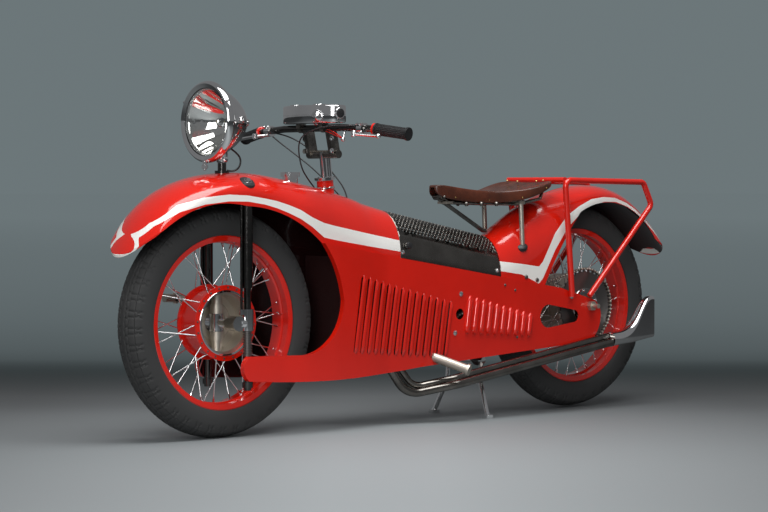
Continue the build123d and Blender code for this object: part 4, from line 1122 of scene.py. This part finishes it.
def add_grip(dark, red, side):
    """Ribs along a grip, its end flange and the red band at its inner end."""
    inner, outer = Vector((0.399, side * 0.271, 0.925)), Vector((0.370, side * 0.392, 0.908))
    way = (outer - inner).normalized()
    for spot in circle((0, 0, 0), way, 0.0168, 0, 22):
        add_bar(dark, inner + spot + way * 0.008, outer + spot - way * 0.002, 0.0013, 6)
    add_turned(dark, outer, way, ((0.0175, -0.004), (0.0205, -0.002), (0.0205, 0.001), (0.015, 0.003),
                                  (0.004, 0.0035)), 28)
    add_turned(red, inner, way, ((0.0165, -0.001), (0.0182, 0.000), (0.0182, 0.006), (0.0172, 0.007)), 28)


class BIKE_OT_controls(bpy.types.Operator):
    """Builds the instrument case, its dials and knobs, the grips' ribs, the levers' ends and the cables"""
    bl_idname = "bike.controls"
    bl_label = "Controls"

    def execute(self, context):
        bm = bmesh.new()
        skin_rows(bm, [case_ring(*row) for row in CASE_RINGS], closed=True, caps=True)
        case = add_piece("instrument_case", bm, "handlebars", "chrome", 50)
        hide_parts("instrument_housing")

        bright, dark, gold, red, glass = (bmesh.new() for _ in range(5))
        for side in (1, -1):
            dial = Vector((0.431, side * 0.055, 1.0015))
            add_band(bright, dial, (0, 0, 1), 0.0175, 0.0215, -0.001, 0.0035)
            add_turned(dark, dial, (0, 0, 1),
                       ((0.0180, 0), (0.0180, 0.0010), (0.003, 0.0012), (0.003, 0.0022)), 32)
            add_turned(glass, dial, (0, 0, 1),
                       ((0.0178, 0.0024), (0.0178, 0.0030), (0.010, 0.0036), (0, 0.0038)), 32)
        cap, cap_way = Vector((0.412, 0.1285, 0.976)), (0.12, 1, 0)
        add_turned(dark, cap, cap_way, ((0.014, -0.002), (0.015, 0.002), (0.013, 0.005), (0.005, 0.006)), 28)
        add_band(bright, cap, cap_way, 0.0140, 0.0175, -0.002, 0.003)
        add_turned(gold, (0.404, -0.1285, 0.980), (0, -1, 0),
                   ((0.006, -0.002), (0.006, 0.006), (0.010, 0.007), (0.010, 0.013), (0.007, 0.015)))
        add_turned(dark, (0.404, -0.1285, 0.960), (0, -1, 0),
                   ((0.005, -0.002), (0.005, 0.005), (0.008, 0.006), (0.008, 0.012), (0.005, 0.014)))
        for side in (1, -1):
            add_grip(dark, red, side)
            add_ball(bright, (0.442, side * 0.340, 0.902), 0.0078)
            add_turned(bright, (0.452, side * 0.240, 0.917), (0, 0, -1),
                       ((0.006, -0.003), (0.009, 0), (0.009, 0.013), (0.006, 0.016)), 16)
            for y in (0.215, 0.235):
                add_bolt(bright, (0.418, side * y, 0.941), (0.6, 0, 1), 0.0035)
            for height in (0.862, 0.900):
                add_bolt(bright, (0.392, side * 0.0655, height), (0, side, 0), 0.0055)
        add_bar(bright, (0.410, 0.150, 0.925), (0.424, 0.158, 0.898), 0.0034)
        add_ball(bright, (0.425, 0.1585, 0.896), 0.0075)
        add_piece("control_brightwork", bright, "handlebars", "chrome")
        add_piece("control_rubber", dark, "handlebars", "grip_rubber")
        add_piece("control_knob", gold, "handlebars", "brass")
        add_piece("grip_bands", red, "handlebars", "red")
        add_piece("dial_glass", glass, "handlebars", "dial_glass", 80)

        for index, points in enumerate(LEVER_WIRES, 1):
            name = "lever_wire_%d" % index
            link_piece(name, curve_mesh(name, points, 0.0016), "handlebars", "red", 60)
        width = context.scene.bike_fittings.cable_width
        for index, points in enumerate(CABLE_ROUTES, 1):
            name = "control_cable_%d" % index
            cable = link_piece(name, curve_mesh(name, points, width), None, "grip_rubber", 60)
            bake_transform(cable)
        return {"FINISHED"}


# Stage, light and camera

def floor_finish(stage):
    """Pale floor with a painted pool of light and painted shade towards the back, turning into a soft sweep
    behind the machine.
    """
    mat, tree, shader = new_material("floor_finish")
    shader.inputs["Roughness"].default_value = 0.7
    coords = add_node(tree, "ShaderNodeTexCoord")
    shifted = add_node(tree, "ShaderNodeMapping", vector_type="TEXTURE")
    shifted.inputs["Location"].default_value = (CAMERA_PLACE.x, CAMERA_PLACE.y, 0)
    shifted.inputs["Rotation"].default_value = (0, 0, -math.pi / 2 - CAMERA_YAW)
    tree.links.new(coords.outputs["Object"], shifted.inputs["Vector"])
    along, aside, _ = split_vector(tree, shifted.outputs["Vector"])
    # Painted light and shade: the floor is lighter in a band along the line of sight, and darker to the sides
    # and towards the sweep
    painted_light_pool = map_range(tree, math_node(tree, "ABSOLUTE", aside), 0.15, 1.25, 1.0, 0.52)
    share = math_node(tree, "MULTIPLY", along_table(tree, along, FLOOR_PAINTED_SHADE), painted_light_pool)
    tree.links.new(mixed(tree, 1.0, tuple(stage.floor_shade), share, "MULTIPLY"), shader.inputs["Base Color"])
    glow = add_node(tree, "ShaderNodeEmission")
    # Painted shade: the sweep glows for the camera, darkest where it meets the floor and lighter higher up
    sweep = mixed(tree, 1.0, tuple(stage.backdrop_shade), along_table(tree, along, SWEEP_PAINTED_SHADE), "MULTIPLY")
    tree.links.new(sweep, glow.inputs["Color"])
    path = add_node(tree, "ShaderNodeLightPath")
    sweep_share = map_range(tree, along, 8.3, 9.5, 0.0, 1.0)
    far = math_node(tree, "MULTIPLY", sweep_share, path.outputs["Is Camera Ray"])
    mix_shaders(tree, far, shader.outputs["BSDF"], glow.outputs["Emission"], "Material Output")
    return mat


def studio_air(stage):
    """World that lights the machine evenly and shows the backdrop colour to the camera."""
    world = bpy.data.worlds.new("studio_air")
    world.use_nodes = True
    tree = world.node_tree
    lit = tree.nodes["Background"]
    lit.inputs["Color"].default_value = (0.55, 0.56, 0.58, 1)
    lit.inputs["Strength"].default_value = 0.33
    seen = add_node(tree, "ShaderNodeBackground", Strength=1.0)
    seen.inputs["Color"].default_value = (*stage.backdrop_shade, 1)
    path = add_node(tree, "ShaderNodeLightPath")
    mix_shaders(tree, path.outputs["Is Camera Ray"], lit.outputs["Background"], seen.outputs["Background"],
                "World Output")
    return world


def add_linked(name, data):
    obj = bpy.data.objects.new(name, data)
    bpy.context.scene.collection.objects.link(obj)
    return obj


def area_light(name, place, target, size, power):
    data = bpy.data.lights.new(name, "AREA")
    data.shape = "RECTANGLE"
    data.size, data.size_y = size
    data.energy = power
    light = add_linked(name, data)
    light.location = place
    light.rotation_euler = (Vector(target) - Vector(place)).to_track_quat("-Z", "Y").to_euler()


class BIKE_OT_stage(bpy.types.Operator):
    """Builds the floor, the backdrop, the softboxes and the camera"""
    bl_idname = "bike.stage"
    bl_label = "Build the stage"

    def execute(self, context):
        scene = context.scene
        stage = scene.bike_stage
        half = 300.0
        mesh = bpy.data.meshes.new("studio_floor")
        corners = [(-half, -half, 0), (half, -half, 0), (half, half, 0), (-half, half, 0)]
        mesh.from_pydata(corners, [], [(0, 1, 2, 3)])
        floor = add_linked("studio_floor", mesh)
        mesh.materials.append(floor_finish(stage))
        scene.world = studio_air(stage)
        area_light("overhead_softbox", (0.6, 1.2, 4.2), (0, 0, 0.5), (4.0, 2.6), stage.key_power)
        area_light("side_softbox", (4.4, 3.4, 2.2), (0.1, 0, 0.5), (1.6, 2.6), stage.side_power)

        camera_data = bpy.data.cameras.new("photo_camera")
        camera_data.lens = 108.71
        camera_data.sensor_width = 36.0
        camera = add_linked("photo_camera", camera_data)
        level = math.cos(CAMERA_PITCH)
        look = Vector((-math.sin(CAMERA_YAW) * level, -math.cos(CAMERA_YAW) * level, math.sin(CAMERA_PITCH)))
        camera.location = CAMERA_PLACE
        camera.rotation_euler = look.to_track_quat("-Z", "Y").to_euler()
        scene.camera = camera
        scene.view_settings.view_transform = "Standard"
        return {"FINISHED"}


class BIKE_PT_panel(bpy.types.Panel):
    """Lists the finishing steps"""
    bl_idname = "BIKE_PT_panel"
    bl_label = "Motorcycle"
    bl_space_type = "VIEW_3D"
    bl_region_type = "UI"
    bl_category = "Motorcycle"

    def draw(self, context):
        for operator in OPERATORS:
            self.layout.operator(operator.bl_idname)
        for group in SETTINGS:
            box = self.layout.box()
            for name in group.__annotations__:
                box.prop(getattr(context.scene, SETTINGS[group]), name)


SETTINGS = {PaintSettings: "bike_paint", MetalSettings: "bike_metal", FittingSettings: "bike_fittings",
            StageSettings: "bike_stage"}
# The fastenings come before the cover, which hides the plain sheet that they are placed on
OPERATORS = [BIKE_OT_stage, BIKE_OT_finishes, BIKE_OT_louvres, BIKE_OT_fastenings, BIKE_OT_cover,
             BIKE_OT_tyres, BIKE_OT_saddle, BIKE_OT_lamp, BIKE_OT_running_gear, BIKE_OT_controls]


def register():
    for group, name in SETTINGS.items():
        bpy.utils.register_class(group)
        setattr(bpy.types.Scene, name, PointerProperty(type=group))
    for item in OPERATORS + [BIKE_PT_panel]:
        bpy.utils.register_class(item)


def unregister():
    for item in reversed(OPERATORS + [BIKE_PT_panel]):
        bpy.utils.unregister_class(item)
    for group, name in SETTINGS.items():
        delattr(bpy.types.Scene, name)
        bpy.utils.unregister_class(group)


def run(operator):
    """Calls one operator through bpy.ops."""
    family, name = operator.bl_idname.split(".")
    getattr(getattr(bpy.ops, family), name)()


def main():
    register()
    for operator in OPERATORS:
        run(operator)


if __name__ == "__main__":
    main()
